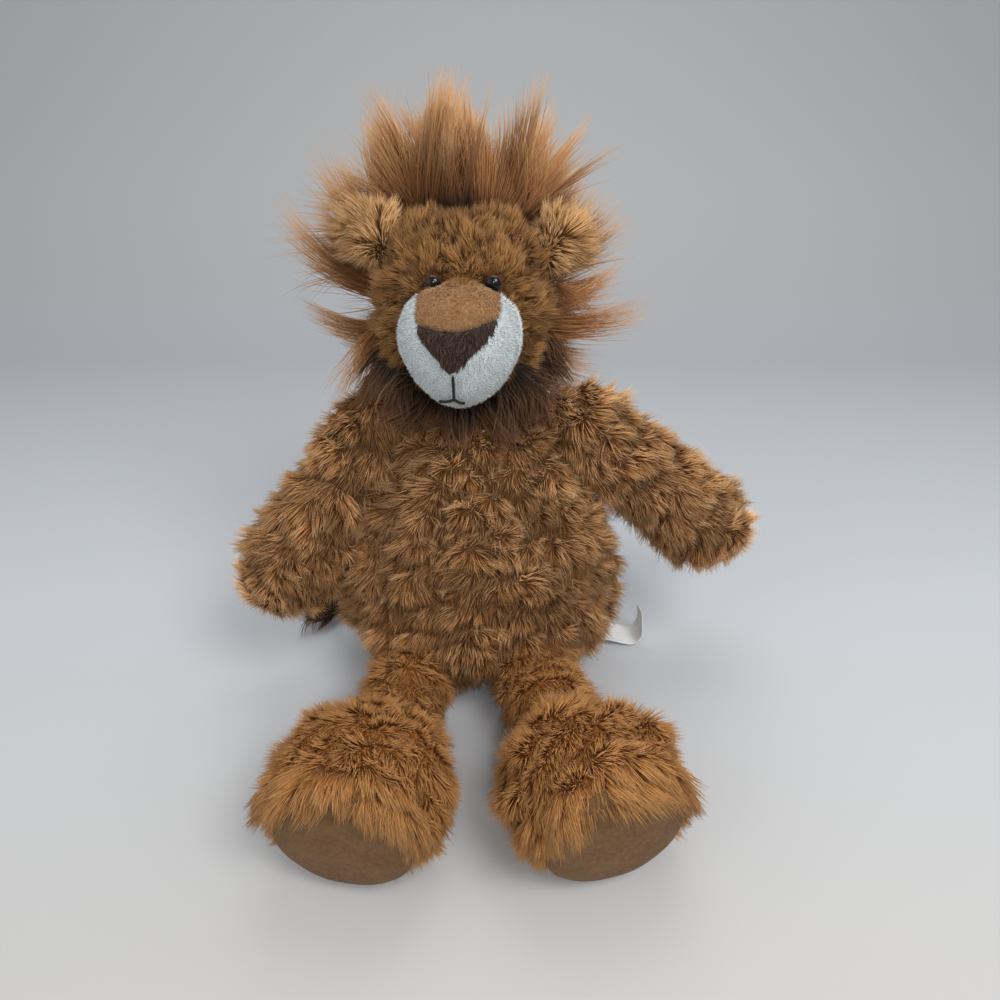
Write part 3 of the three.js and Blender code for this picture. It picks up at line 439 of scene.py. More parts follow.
class Shop:
    """The work that several pieces share: meshes, simulation, distances and tidying."""

    @staticmethod
    def piece(name: str, points: Sequence[Sequence[float]], faces: Sequence[Sequence[int]]) -> Piece:
        """Makes a mesh object with smooth faces.

        Args:
            name: The object's name.
            points: Its vertices.
            faces: Its faces.

        Returns:
            The object, linked to the scene.
        """
        mesh = bpy.data.meshes.new(name)
        mesh.from_pydata([tuple(p) for p in points], [], [tuple(f) for f in faces])
        mesh.update()
        mesh.shade_smooth()
        return Shop.shown(name, mesh)

    @staticmethod
    def shown(name: str, data: bpy.types.ID) -> Piece:
        """Makes an object of a mesh, a lamp or a camera and links it to the scene."""
        made = bpy.data.objects.new(name, data)
        bpy.context.scene.collection.objects.link(made)
        return made

    @staticmethod
    def turned(count: int, around: int) -> list[tuple[int, ...]]:
        """The faces of a turned shape, whose two end points come after its rings.

        Args:
            count: How many rings it has.
            around: How many points a ring has.

        Returns:
            The faces.
        """
        faces: list[tuple[int, ...]] = []
        size, last = count * around, (count - 1) * around
        for k in range(around):
            nxt = (k + 1) % around
            faces += [(size, nxt, k), (size + 1, last + k, last + nxt)]
            for a in range(0, last, around):
                faces.append((a + k, a + nxt, a + around + nxt, a + around + k))
        return faces

    @staticmethod
    def faced_out(piece: Piece) -> None:
        """Turns all faces of a closed piece outwards."""
        mesh = bmesh.new()
        mesh.from_mesh(piece.data)
        bmesh.ops.recalc_face_normals(mesh, faces=mesh.faces)
        mesh.to_mesh(piece.data)
        mesh.free()
        piece.data.shade_smooth()

    @staticmethod
    def points(piece: Piece) -> Rows:
        """The vertices of a piece as rows."""
        out = np.empty(len(piece.data.vertices) * 3)
        piece.data.vertices.foreach_get("co", out)
        return out.reshape(-1, 3)

    @staticmethod
    def put(piece: Piece, points: Rows) -> None:
        """Writes the vertices of a piece."""
        piece.data.vertices.foreach_set("co", points.astype(np.float32).ravel())
        piece.data.update()

    @staticmethod
    def normals(piece: Piece) -> Rows:
        """The vertex normals of a piece as rows."""
        out = np.empty(len(piece.data.vertices) * 3)
        piece.data.vertex_normals.foreach_get("vector", out)
        return out.reshape(-1, 3)

    @staticmethod
    def settled(piece: Piece) -> None:
        """Turns a piece's modifiers into its own mesh."""
        bpy.context.view_layer.update()
        graph = bpy.context.evaluated_depsgraph_get()
        mesh = bpy.data.meshes.new_from_object(piece.evaluated_get(graph))
        piece.modifiers.clear()
        old = piece.data
        piece.data = mesh
        bpy.data.meshes.remove(old)
        piece.data.name = piece.name
        piece.data.shade_smooth()

    @staticmethod
    def surface(piece: Piece) -> BVHTree:
        """A search tree over a piece's faces."""
        return BVHTree.FromPolygons([v.co for v in piece.data.vertices], [p.vertices for p in piece.data.polygons])

    @staticmethod
    def depth(tree: BVHTree, points: Rows) -> Rows:
        """How deep points lie inside a closed surface; outside it the values are negative."""
        out = np.empty(len(points))
        for i, point in enumerate(points):
            place, normal, _, _ = tree.find_nearest(Vector(point))
            away = Vector(point) - place
            out[i] = -away.length if away.dot(normal) > 0 else away.length
        return out

    @staticmethod
    def ripple(points: Rows, size: float, seed: float) -> Rows:
        """Smooth noise at points, from about -1 to 1."""
        return np.array([noise.noise(Vector(p) / size + Vector((seed, 0, 0))) for p in points])

    @staticmethod
    def lumps(points: Rows, size: Sequence[float], height: float, seed: float) -> Rows:
        """Heights of rounded lumps with creases between them.

        Args:
            points: Where.
            size: How wide the lumps are in each direction.
            height: How high they stand.
            seed: The seed of their pattern.

        Returns:
            A height for each point.
        """
        first = np.abs(Shop.ripple(points / np.array(size), 1.0, seed))
        second = np.abs(Shop.ripple(points / np.array(size), 0.5, seed + 40))
        return height * (1.5 * np.minimum(first * 2, 0.8) + 0.5 * np.minimum(second * 2, 0.8) - 0.2)

    @staticmethod
    def dress(piece: Piece, finish: Material, body: str, slot: str) -> Piece:
        """Gives a piece its finish and the body it rides on."""
        piece.data.materials.clear()
        piece.data.materials.append(finish)
        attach(piece, body)
        return piece


@dataclass
class Stuffing:
    """Swells a sewn skin with pressure, as loose fibre does."""

    voxel: float = 0.005
    pressure: float = 4.0
    frames: int = 20
    cap: float = 0.004

    def swell(self, piece: Piece) -> None:
        """Remeshes a skin, lets pressure fill it and smooths it once."""
        remesh = piece.modifiers.new("even", "REMESH")
        remesh.mode = "VOXEL"
        remesh.voxel_size = self.voxel
        Shop.settled(piece)
        start = Shop.points(piece)
        group = piece.vertex_groups.new(name="seams")  # left empty: no seam is held
        cloth = piece.modifiers.new("stuffing", "CLOTH")
        cloth.settings.use_pressure = True
        cloth.settings.uniform_pressure_force = self.pressure
        cloth.settings.vertex_group_mass = group.name
        cloth.settings.effector_weights.gravity = 0
        cloth.point_cache.frame_start = 1
        cloth.point_cache.frame_end = self.frames
        scene = bpy.context.scene
        for frame in range(1, self.frames + 1):
            scene.frame_set(frame)
        Shop.settled(piece)
        scene.frame_set(1)
        piece.vertex_groups.clear()
        moved = Shop.points(piece) - start
        far = np.linalg.norm(moved, axis=1, keepdims=True)
        Shop.put(piece, start + moved * np.minimum(1, self.cap / np.maximum(far, TINY)))
        finer = piece.modifiers.new("finer", "SUBSURF")
        finer.levels = finer.render_levels = 1
        Shop.settled(piece)


# Pile


@dataclass(frozen=True)
class Strand:
    """A tuft of fibres as one closed tapered spike, bowed and crinkled."""

    length: float
    width: float
    rings: int = 4
    bow: float = 0.12
    curl: float = 0.0
    crinkle: float = 0.04
    waves: float = 1.2
    taper: float = 2.4
    root_share: float = 0.7
    kinds: int = 7

    @property
    def corners(self) -> int:
        """How many vertices one strand has."""
        return self.rings * 3 + 1

    def make(self, name: str) -> bpy.types.Collection:
        """Builds the strands of every kind, kept out of the scene.

        Args:
            name: The name of their collection.

        Returns:
            The collection.
        """
        kept = bpy.data.collections.new(name)
        chance = np.random.default_rng(len(name) * 7 + self.rings)
        for kind in range(self.kinds):
            bow = self.bow * chance.uniform(0.5, 1.4)
            crinkle = self.crinkle * chance.uniform(-1.3, 1.3)
            curl = self.curl * chance.uniform(0.75, 1.2)
            start = chance.uniform(0, math.tau)
            points: list[Point] = []
            for ring in range(self.rings + 1):
                t = ring / self.rings
                radius = self.width / 2 * min(1.0, self.root_share + 2 * t) * (1 - t**self.taper)
                x = self.length * (bow * math.sin(math.pi * t**0.8) + curl * t**2)
                y = crinkle * self.length * (math.sin(self.waves * math.tau * t + start) - math.sin(start))
                for k in range(3 if ring < self.rings else 1):
                    turn = math.tau * k / 3
                    points.append((x + math.cos(turn) * radius, y + math.sin(turn) * radius, t * self.length))
            faces: list[tuple[int, ...]] = [(2, 1, 0)]
            places: list[tuple[float, float]] = [(0.0, 0.02), (0.5, 0.02), (0.25, 0.05)]
            top = len(points) - 1
            for ring in range(self.rings):
                low, high = 0.02 + 0.96 * ring / self.rings, 0.02 + 0.96 * (ring + 1) / self.rings
                for k in range(3):
                    a, b = ring * 3 + k, ring * 3 + (k + 1) % 3
                    left, right = k / 3, (k + 1) / 3
                    if ring + 1 < self.rings:
                        faces.append((a, b, b + 3, a + 3))
                        places += [(left, low), (right, low), (right, high), (left, high)]
                    else:
                        faces.append((a, b, top))
                        places += [(left, low), (right, low), ((left + right) / 2, high)]
            mesh = bpy.data.meshes.new(f"{name}_{kind}")
            mesh.from_pydata(points, [], faces)
            mesh.shade_smooth()
            layer = mesh.uv_layers.new(name=MAP_NAME)
            layer.data.foreach_set("uv", np.array(places, np.float32).ravel())
            kept.objects.link(bpy.data.objects.new(mesh.name, mesh))
        return kept


class PileTree:
    """The Geometry Nodes that plant strands on a skin, comb them and draw them into tufts."""

    INPUTS = (
        ("Per square metre", "NodeSocketFloat", 200000.0),
        ("Stand", "NodeSocketFloat", 0.6),
        ("Length", "NodeSocketFloat", 0.012),
        ("Tuft size", "NodeSocketFloat", 0.008),
        ("Tuft pull", "NodeSocketFloat", 0.5),
        ("Tuft turn", "NodeSocketFloat", 0.3),
        ("Tuft shade", "NodeSocketFloat", 0.3),
        ("Own shade", "NodeSocketFloat", 0.2),
        ("Disorder", "NodeSocketFloat", 0.15),
        ("Smallest", "NodeSocketFloat", 0.75),
        ("Largest", "NodeSocketFloat", 1.2),
        ("Seed", "NodeSocketInt", 1),
        ("Strands", "NodeSocketCollection", None),
        ("Finish", "NodeSocketMaterial", None),
    )

    def __init__(self) -> None:
        """Builds the tree once; every coat uses it with its own sizes."""
        self.tree = bpy.data.node_groups.new("pile", "GeometryNodeTree")
        sockets = self.tree.interface
        sockets.new_socket("Geometry", in_out="INPUT", socket_type="NodeSocketGeometry")
        sockets.new_socket("Geometry", in_out="OUTPUT", socket_type="NodeSocketGeometry")
        self.names: dict[str, str] = {}
        for name, kind, value in self.INPUTS:
            made = sockets.new_socket(name, in_out="INPUT", socket_type=kind)
            if value is not None:
                made.default_value = value
            self.names[name] = made.identifier
        self.build()

    def add(self, kind: str, *inputs: object, **values: object) -> bpy.types.Node:
        """Adds a node and joins or sets its inputs in order.

        Args:
            kind: The node's type.
            inputs: A socket to join or a value, one for each enabled input, or None.
            values: The node's properties.

        Returns:
            The node.
        """
        node = self.tree.nodes.new(kind)
        for name, value in values.items():
            setattr(node, name, value)
        entries = [entry for entry in node.inputs if entry.enabled]
        for entry, value in zip(entries, inputs):
            if isinstance(value, bpy.types.NodeSocket):
                self.tree.links.new(value, entry)
            elif value is not None:
                entry.default_value = value
        return node

    def out(self, node: bpy.types.Node, name: str | None = None) -> bpy.types.NodeSocket:
        """The node's named output, or its first one in use."""
        found = [s for s in node.outputs if s.enabled]
        return next(s for s in found if s.name == name) if name else found[0]

    def vector(self, operation: str, *inputs: object) -> bpy.types.NodeSocket:
        """A vector sum or product."""
        node = self.add("ShaderNodeVectorMath", *inputs, operation=operation)
        return self.out(node)

    def number(self, operation: str, *inputs: object) -> bpy.types.NodeSocket:
        """A sum or product of numbers."""
        return self.out(self.add("ShaderNodeMath", *inputs, operation=operation))

    def fed(self, kind: str, entries: dict[str, object], **values: object) -> bpy.types.Node:
        """Adds a node and joins or sets its inputs by name.

        Args:
            kind: The node's type.
            entries: The inputs' names, each with a socket to join or a value.
            values: The node's properties.

        Returns:
            The node.
        """
        node = self.add(kind, **values)
        for name, value in entries.items():
            if isinstance(value, bpy.types.NodeSocket):
                self.tree.links.new(value, node.inputs[name])
            else:
                node.inputs[name].default_value = value
        return node

    def stored(self, name: str, kind: str, domain: str, start: bpy.types.Node, value: object) -> bpy.types.Node:
        """Writes an attribute to the geometry that a node gives."""
        entries = {"Name": name, "Geometry": self.out(start), "Value": value}
        return self.fed("GeometryNodeStoreNamedAttribute", entries, data_type=kind, domain=domain)

    def named(self, name: str, kind: str = "FLOAT") -> bpy.types.NodeSocket:
        """An attribute that the skin carries."""
        return self.out(self.add("GeometryNodeInputNamedAttribute", name, data_type=kind), "Attribute")

    def chance(self, low: object, high: object, seed: object, kind: str = "FLOAT") -> bpy.types.NodeSocket:
        """A random value for each strand."""
        return self.out(self.add("FunctionNodeRandomValue", low, high, None, seed, data_type=kind))

    def total(self, first: object, *others: object) -> bpy.types.NodeSocket:
        """The sum of numbers."""
        for other in others:
            first = self.number("ADD", first, other)
        return first

    def product(self, first: object, *others: object) -> bpy.types.NodeSocket:
        """The product of numbers."""
        for other in others:
            first = self.number("MULTIPLY", first, other)
        return first

    def build(self) -> None:
        """Joins the nodes: points, directions, strands, tones and the map, in that order."""
        entry = {s.name: s for s in self.add("NodeGroupInput").outputs}
        seed, name = entry["Seed"], "GeometryNodeDistributePointsOnFaces"
        density = self.product(entry["Per square metre"], self.named("cover"))
        spread = self.fed(name, {"Mesh": entry["Geometry"], "Density": density, "Seed": seed})
        up = self.add("GeometryNodeCaptureAttribute")
        up.capture_items.new("VECTOR", "Normal")
        self.tree.links.new(spread.outputs["Points"], up.inputs["Geometry"])
        self.tree.links.new(spread.outputs["Normal"], up.inputs["Normal"])
        place = self.out(self.add("GeometryNodeInputPosition"))
        cell_scale = {"Vector": place, "Scale": self.number("DIVIDE", 1.0, entry["Tuft size"])}
        cells = self.fed("ShaderNodeTexVoronoi", cell_scale, voronoi_dimensions="3D")
        parted = self.vector("SUBTRACT", cells.outputs["Color"], (0.5, 0.5, 0.5))
        apart = self.add("ShaderNodeSeparateXYZ", parted)
        turned = self.directed(entry, up.outputs["Normal"], place, cells.outputs["Position"], parted)
        size = self.product(self.chance(entry["Smallest"], entry["Largest"], seed), self.named("long"))
        taller = self.product(apart.outputs["Z"], entry["Tuft shade"])
        size = self.product(size, self.total(1.0, taller))
        kinds = {"Collection": entry["Strands"], "Separate Children": True, "Reset Children": True}
        strands = self.fed("GeometryNodeCollectionInfo", kinds, transform_space="ORIGINAL")
        grown = {"Points": up.outputs["Geometry"], "Instance": self.out(strands), "Pick Instance": True}
        planted = self.fed("GeometryNodeInstanceOnPoints", {**grown, "Rotation": turned, "Scale": size})
        patch = self.add("ShaderNodeTexNoise", place, None, 45.0, 2.0)
        blot = self.out(self.add("ShaderNodeMapRange", self.out(patch), 0.3, 0.7, 0.22, 0.78))
        own = self.product(self.chance(-1.0, 1.0, seed), entry["Own shade"])
        shared = self.product(apart.outputs["Y"], entry["Tuft shade"])
        # The tone also takes the skin's painted highlight on the lumps and painted shade in the creases.
        tone = self.total(self.total(blot, own), self.total(shared, self.named("crest")))
        toned = self.stored("tone", "FLOAT", "INSTANCE", planted, tone)
        real = self.add("GeometryNodeRealizeInstances", self.out(toned))
        parts = self.add("ShaderNodeSeparateXYZ", self.named(MAP_NAME, "FLOAT_VECTOR"))
        across = self.total(self.product(self.named("tone"), 0.95), self.product(parts.outputs["X"], 0.02))
        place_on = self.add("ShaderNodeCombineXYZ", across, parts.outputs["Y"], 0.0)
        mapped = self.stored(MAP_NAME, "FLOAT2", "CORNER", real, self.out(place_on))
        finished = self.add("GeometryNodeSetMaterial", self.out(mapped), None, entry["Finish"])
        self.tree.links.new(self.out(finished), self.add("NodeGroupOutput").inputs[0])

    def directed(
        self,
        entry: dict[str, bpy.types.NodeSocket],
        normal: bpy.types.NodeSocket,
        place: bpy.types.NodeSocket,
        middle: bpy.types.NodeSocket,
        parted: bpy.types.NodeSocket,
    ) -> bpy.types.NodeSocket:
        """Joins the nodes that turn each strand: combed, drawn to its tuft, stirred and twisted.

        Args:
            entry: The tree's inputs.
            normal: The skin's direction.
            place: The strand's root.
            middle: The middle of its tuft.
            parted: A direction of its tuft's own.

        Returns:
            The rotation.
        """
        seed, long = entry["Seed"], self.product(entry["Length"], self.named("long"))
        lying = self.vector("SCALE", self.named("flow", "FLOAT_VECTOR"), self.number("SUBTRACT", 1.0, entry["Stand"]))
        standing = self.vector("SCALE", normal, entry["Stand"])
        combed = self.vector("SCALE", self.vector("NORMALIZE", self.vector("ADD", standing, lying)), long)
        inward = self.vector("SUBTRACT", middle, place)
        flat = self.vector("SUBTRACT", inward, self.vector("PROJECT", inward, normal))
        pulled = self.vector("SCALE", flat, entry["Tuft pull"])
        stray = self.chance((-1, -1, -1), (1, 1, 1), seed, "FLOAT_VECTOR")
        strayed = self.vector("SCALE", stray, self.product(long, entry["Disorder"]))
        swung = self.vector("SCALE", parted, self.product(entry["Tuft turn"], 2.0, long))
        way = combed
        for push in (pulled, strayed, swung):
            way = self.vector("ADD", way, push)
        lean = self.vector("ADD", self.named("bend", "FLOAT_VECTOR"), parted)
        along = self.add("FunctionNodeAlignRotationToVector", None, None, way, axis="Z")
        facing = self.add("FunctionNodeAlignRotationToVector", self.out(along), None, lean, axis="X", pivot_axis="Z")
        twist = self.add("FunctionNodeAxisAngleToRotation", (0, 0, 1), self.chance(-0.5, 0.5, seed))
        both = (self.out(facing), self.out(twist))
        return self.out(self.add("FunctionNodeRotateRotation", *both, rotation_space="LOCAL"))


@dataclass
class Coat:
    """Pile of one cut and finish, ready to be planted on any skin."""

    name: str
    strand: Strand
    finish: StrandFinish
    per_square_metre: float
    stand: float
    tuft_size: float
    tuft_pull: float
    disorder: float = 0.15
    smallest: float = 0.75
    largest: float = 1.2
    slot: str = "body_fur"
    most: int = 8200
    tuft_turn: float = 0.3
    tuft_shade: float = 0.35
    own_shade: float = 0.2
    material: Material | None = None
    kinds: bpy.types.Collection | None = None

    def plant(self, tree: PileTree, skin: Piece, name: str, body: str, look: Combing, seed: int) -> list[Piece]:
        """Plants the pile on a skin.

        Args:
            tree: The shared Geometry Nodes.
            skin: The skin.
            name: What the new pieces are named after.
            body: The body they ride on.
            look: The direction, cover and length of the pile at each vertex.
            seed: The seed of its chances.

        Returns:
            The pieces, one or more, each of a limited number of strands.
        """
        if self.material is None:
            self.material = self.finish.make()
            self.kinds = self.strand.make(self.name)
        ground = skin.copy()
        ground.data = skin.data.copy()
        bpy.context.scene.collection.objects.link(ground)
        look.store(ground)
        grow = ground.modifiers.new("pile", "NODES")
        grow.node_group = tree.tree
        others = {"Length": self.strand.length, "Seed": seed, "Strands": self.kinds, "Finish": self.material}
        for title, key in tree.names.items():
            grow[key] = others[title] if title in others else getattr(self, title.lower().replace(" ", "_"))
        Shop.settled(ground)
        pieces = self.shared_out(ground, name, body)
        mesh = ground.data
        bpy.data.objects.remove(ground)
        bpy.data.meshes.remove(mesh)
        return pieces

    def shared_out(self, grown: Piece, name: str, body: str) -> list[Piece]:
        """Lifts strands off the floor and shares them out into pieces of a limited size.

        Args:
            grown: The realised strands.
            name: What the pieces are named after.
            body: The body they ride on.

        Returns:
            The pieces.
        """
        points = Shop.points(grown).reshape(-1, self.strand.corners, 3)
        if not len(points):
            return []
        kept = np.flatnonzero(self.off_floor(points))
        mesh = grown.data
        loops = np.empty(len(mesh.loops), np.int32)
        mesh.loops.foreach_get("vertex_index", loops)
        places = np.empty(len(mesh.loops) * 2, np.float32)
        mesh.uv_layers[MAP_NAME].data.foreach_get("uv", places)
        totals = np.empty(len(mesh.polygons), np.int32)
        mesh.polygons.foreach_get("loop_total", totals)
        faces = (loops[: len(loops) // len(points)], totals[: len(totals) // len(points)])
        places = places.reshape(len(points), -1)
        across, deep = (points[kept, 0, i] - points[:, 0, i].mean() for i in (0, 1))
        turn = np.arctan2(across, -deep)
        kept = kept[np.argsort(turn, kind="stable")]
        count = max(1, math.ceil(len(kept) / self.most))
        pieces = []
        for number, some in enumerate(np.array_split(kept, count)):
            title = name if count == 1 else f"{name}_{number + 1}"
            piece = self.joined(title, points[some], places[some], *faces)
            pieces.append(Shop.dress(piece, self.material, body, self.slot))
        log.info("%s: %d strands in %d pieces", name, len(kept), count)
        return pieces

    @staticmethod
    def off_floor(points: Rows) -> Rows:
        """Shortens strands that would reach into the floor.

        Args:
            points: The points of each strand, which are changed.

        Returns:
            Whether each strand is kept, because its root is high enough and enough of its height is left.
        """
        least_root, least_share = FLOOR_GAP + 0.001, 0.04
        root = points[:, :3, 2].mean(axis=1)
        low = points[:, :, 2].min(axis=1)
        share = np.where(low < FLOOR_GAP, (root - FLOOR_GAP) / np.maximum(root - low, TINY), 1.0)
        lifted = (points[:, :, 2] - root[:, None]) * np.clip(share, 0, 1)[:, None]
        points[:, :, 2] = root[:, None] + lifted
        return (root > least_root) & (share > least_share)

    @staticmethod
    def joined(title: str, points: Rows, places: Rows, corners: Rows, sides: Rows) -> Piece:
        """Makes one piece of strands that all have the same faces.

        Args:
            title: Its name.
            points: The points of each strand.
            places: The map places of each strand's face corners.
            corners: The point at each face corner of one strand.
            sides: The number of corners of each face of one strand.

        Returns:
            The piece.
        """
        count, each = points.shape[:2]
        mesh = bpy.data.meshes.new(title)
        mesh.vertices.add(count * each)
        mesh.vertices.foreach_set("co", points.astype(np.float32).ravel())
        mesh.loops.add(count * len(corners))
        ids = corners[None, :] + (np.arange(count) * each)[:, None]
        mesh.loops.foreach_set("vertex_index", ids.astype(np.int32).ravel())
        sizes = np.tile(sides, count)
        mesh.polygons.add(len(sizes))
        mesh.polygons.foreach_set("loop_start", np.concatenate([[0], np.cumsum(sizes)[:-1]]).astype(np.int32))
        mesh.uv_layers.new(name=MAP_NAME)
        mesh.update(calc_edges=True)
        mesh.uv_layers[MAP_NAME].data.foreach_set("uv", places.ravel())
        mesh.shade_smooth()
        return Shop.shown(title, mesh)


@dataclass
class Combing:
    """The direction, cover, length and bend of the pile at each vertex of a skin, and how much painted highlight on
    its lumps and painted shade in its creases it gets.
    """

    flow: Rows
    cover: Rows
    long: Rows
    bend: Rows
    # Painted highlight on the lumps of the pile and painted shade in its creases.
    crest: Rows

    @classmethod
    def laid(cls, skin: Piece, toward: Rows, stir: float, patch: float, free: bool) -> Combing:
        """Combs a skin towards directions, with gentle swirls.

        Args:
            skin: The skin.
            toward: A direction for each vertex.
            stir: How far the swirls turn the direction.
            patch: The size of a swirl.
            free: Whether the pile stands away from the skin. Otherwise it lies flat on it.

        Returns:
            The combing, at full cover and length.
        """
        places, up = Shop.points(skin), Shop.normals(skin)
        swirl = np.stack([Shop.ripple(places, patch, 11.0 + 7 * i) for i in range(3)], axis=1)
        flat = toward + swirl * stir * 2
        flat = flat - up * (flat * up).sum(axis=1, keepdims=True)
        flow = unit(unit(toward) + swirl * stir) if free else unit(flat, 0.35)
        ones = np.ones(len(places))
        return cls(flow=flow, cover=ones, long=ones.copy(), bend=up.copy(), crest=ones * 0)

    def bare(self, share: Rows) -> Combing:
        """Thins the pile where share is below 1."""
        self.cover = self.cover * np.clip(share, 0, 1)
        return self

    def cut(self, share: Rows) -> Combing:
        """Cuts the pile to a share of its length."""
        self.long = self.long * share
        return self

    def store(self, skin: Piece) -> None:
        """Writes the combing to a skin's attributes."""
        for name, values in vars(self).items():
            kind, key = ("FLOAT_VECTOR", "vector") if values.ndim > 1 else ("FLOAT", "value")
            made = skin.data.attributes.new(name, kind, "POINT")
            made.data.foreach_set(key, values.astype(np.float32).ravel())


# Sub-assemblies


@dataclass
class Skin:
    """One sewn cover: its form, where it stands and how its pile is combed."""

    name: str
    body: str
    nodes: tuple[str, ...]
    form: Form
    place: Matrix
    comb: Callable[[Rows, Rows], Rows]
    inset: float = 0.0085
    stuffing: Stuffing = field(default_factory=Stuffing)
    fill: float = 0.7
    lump: Point = (0.014, 0.014, 0.014)
    lump_height: float = 0.0034
    piece: Piece | None = None
    tree: BVHTree | None = None

    def make(self, finish: Material, slot: str) -> Skin:
        """Sews and stuffs the skin.

        Args:
            finish: Its backing cloth.
            slot: Not used.

        Returns:
            The skin itself.
        """
        self.piece = self.form.mesh(self.name, -self.inset, self.place)
        self.stuffing.swell(self.piece)
        places = Shop.points(self.piece)
        Shop.put(self.piece, places + Shop.normals(self.piece) * self.relief(places)[:, None] * self.lump_height)
        Shop.dress(self.piece, finish, self.body, slot)
        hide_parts(*self.nodes)
        return self

    def relief(self, places: Rows) -> Rows:
        """How high the lumps of the pile stand at places, about -0.2 in a crease to 1.4 on a lump's top; the painted
        highlight on the lumps and painted shade in the creases follow it.
        """
        own = placed(self.place.inverted(), places)
        warp = np.stack([Shop.ripple(own, 0.05, 60.0 + i) for i in range(3)], axis=1)
        return Shop.lumps(own + warp * 0.012, self.lump, 1.0, len(self.name))

    def seated(self, centre: Vector, radius: float, gap: float = 0.0015) -> None:
        """Sinks a seat into the skin for a ball that turns there."""
        places, up = Shop.points(self.piece), Shop.normals(self.piece)
        away = places - np.array(centre)
        reach = radius + gap
        along = (away * up).sum(axis=1)
        spare = along**2 - (away**2).sum(axis=1) + reach**2
        inside = (away**2).sum(axis=1) < reach**2
        step = along + np.sqrt(np.maximum(spare, 0))
        Shop.put(self.piece, np.where(inside[:, None], places - up * step[:, None], places))

    def measured(self) -> None:
        """Keeps a search tree of the finished skin."""
        lowest = 0.0012
        places = Shop.points(self.piece)
        places[:, 2] = np.where(places[:, 2] < lowest, lowest + (places[:, 2] - lowest) * 0.02, places[:, 2])
        Shop.put(self.piece, places)
        self.tree = Shop.surface(self.piece)


def uneven(share: float, spread: float, size: float, seed: float) -> Share:
    """A share that rises and falls over a skin.

    Args:
        share: Its middle.
        spread: How far it rises and falls.
        size: The width of a rise.
        seed: The seed of the pattern.

    Returns:
        The share as a function of places and normals.
    """
    return lambda places, up: share + spread * Shop.ripple(places, size, seed)


class Framed:
    """A sub-assembly that stands in a frame of its own."""

    def place(self) -> Matrix:
        """Where its frame stands."""
        raise NotImplementedError

    def local(self, places: Rows) -> Rows:
        """Places in its own frame."""
        return placed(self.place().inverted(), places)

    def spun(self, ways: Rows) -> Rows:
        """Directions of its own frame in the shared frame."""
        return ways @ np.array(self.place().to_3x3()).T


@dataclass
class Wardrobe:
    """The coats, cloths and Geometry Nodes that all the sub-assemblies use."""

    pile: PileTree
    body: Coat
    leg: Coat
    fringe: Coat
    head: Coat
    brow: Coat
    ear: Coat
    mane: Coat
    side_mane: Coat
    chin: Coat
    stray: Coat
    muzzle: Coat
    bridge: Coat
    nose: Coat
    backing: Material
    leg_backing: Material
    mane_backing: Material
    skins: list[Skin] = field(default_factory=list)

    def planted(
        self, skin: Skin, coat: Coat, name: str, seed: int, buried: float = 0.006, **changes: object
    ) -> list[Piece]:
        """Plants a coat on a skin, except where another skin covers it.

        Args:
            skin: The skin.
            coat: The coat.
            name: What the pieces are named after.
            seed: The seed of its chances.
            buried: How deep inside another skin the pile stops.
            changes: "bare" and "cut", the cover and length as functions of the places and normals;
            "stir" and "patch", how far the swirls turn and how wide they are; "free", away from the
            skin; "crests", how much painted highlight the lumps and painted shade the creases get, with
            longer pile on the lumps and shorter in the creases; "bend_patch", how wide the stretches are
            that curl one way; "droop", how far the strands bend down.

        Returns:
            The pieces.
        """
        places, up = Shop.points(skin.piece), Shop.normals(skin.piece)
        stir, patch = changes.get("stir", 0.35), changes.get("patch", 0.03)
        look = Combing.laid(skin.piece, skin.comb(places, up), stir, patch, bool(changes.get("free")))
        # Painted highlight on the lumps and painted shade in the creases, and longer pile on the lumps.
        if changes.get("crests"):
            rise = skin.relief(places)
            look.crest = changes["crests"] * (rise - 0.6)
            look.cut(0.84 + 0.28 * rise)
        open_share = np.ones(len(places))
        for other in self.skins:
            if other.piece is not skin.piece and other.tree:
                deep = Shop.depth(other.tree, places)
                open_share *= ((deep < buried) | (deep > FAR_INSIDE)).astype(float)
        look.bare(open_share * (places[:, 2] > 0.003))
        if changes.get("bend_patch"):
            sway = [Shop.ripple(places, changes["bend_patch"], 90.0 + 9 * i) for i in range(3)]
            look.bend = np.stack(sway, axis=1) * (0.5, 0.15, 0.5)
        if changes.get("droop"):
            look.bend = np.tile((0, 0, -changes["droop"]), (len(places), 1))
        if changes.get("bare"):
            look.bare(changes["bare"](places, up))
        if changes.get("cut"):
            look.cut(changes["cut"](places, up))
        return coat.plant(self.pile, skin.piece, name, skin.body, look, seed)


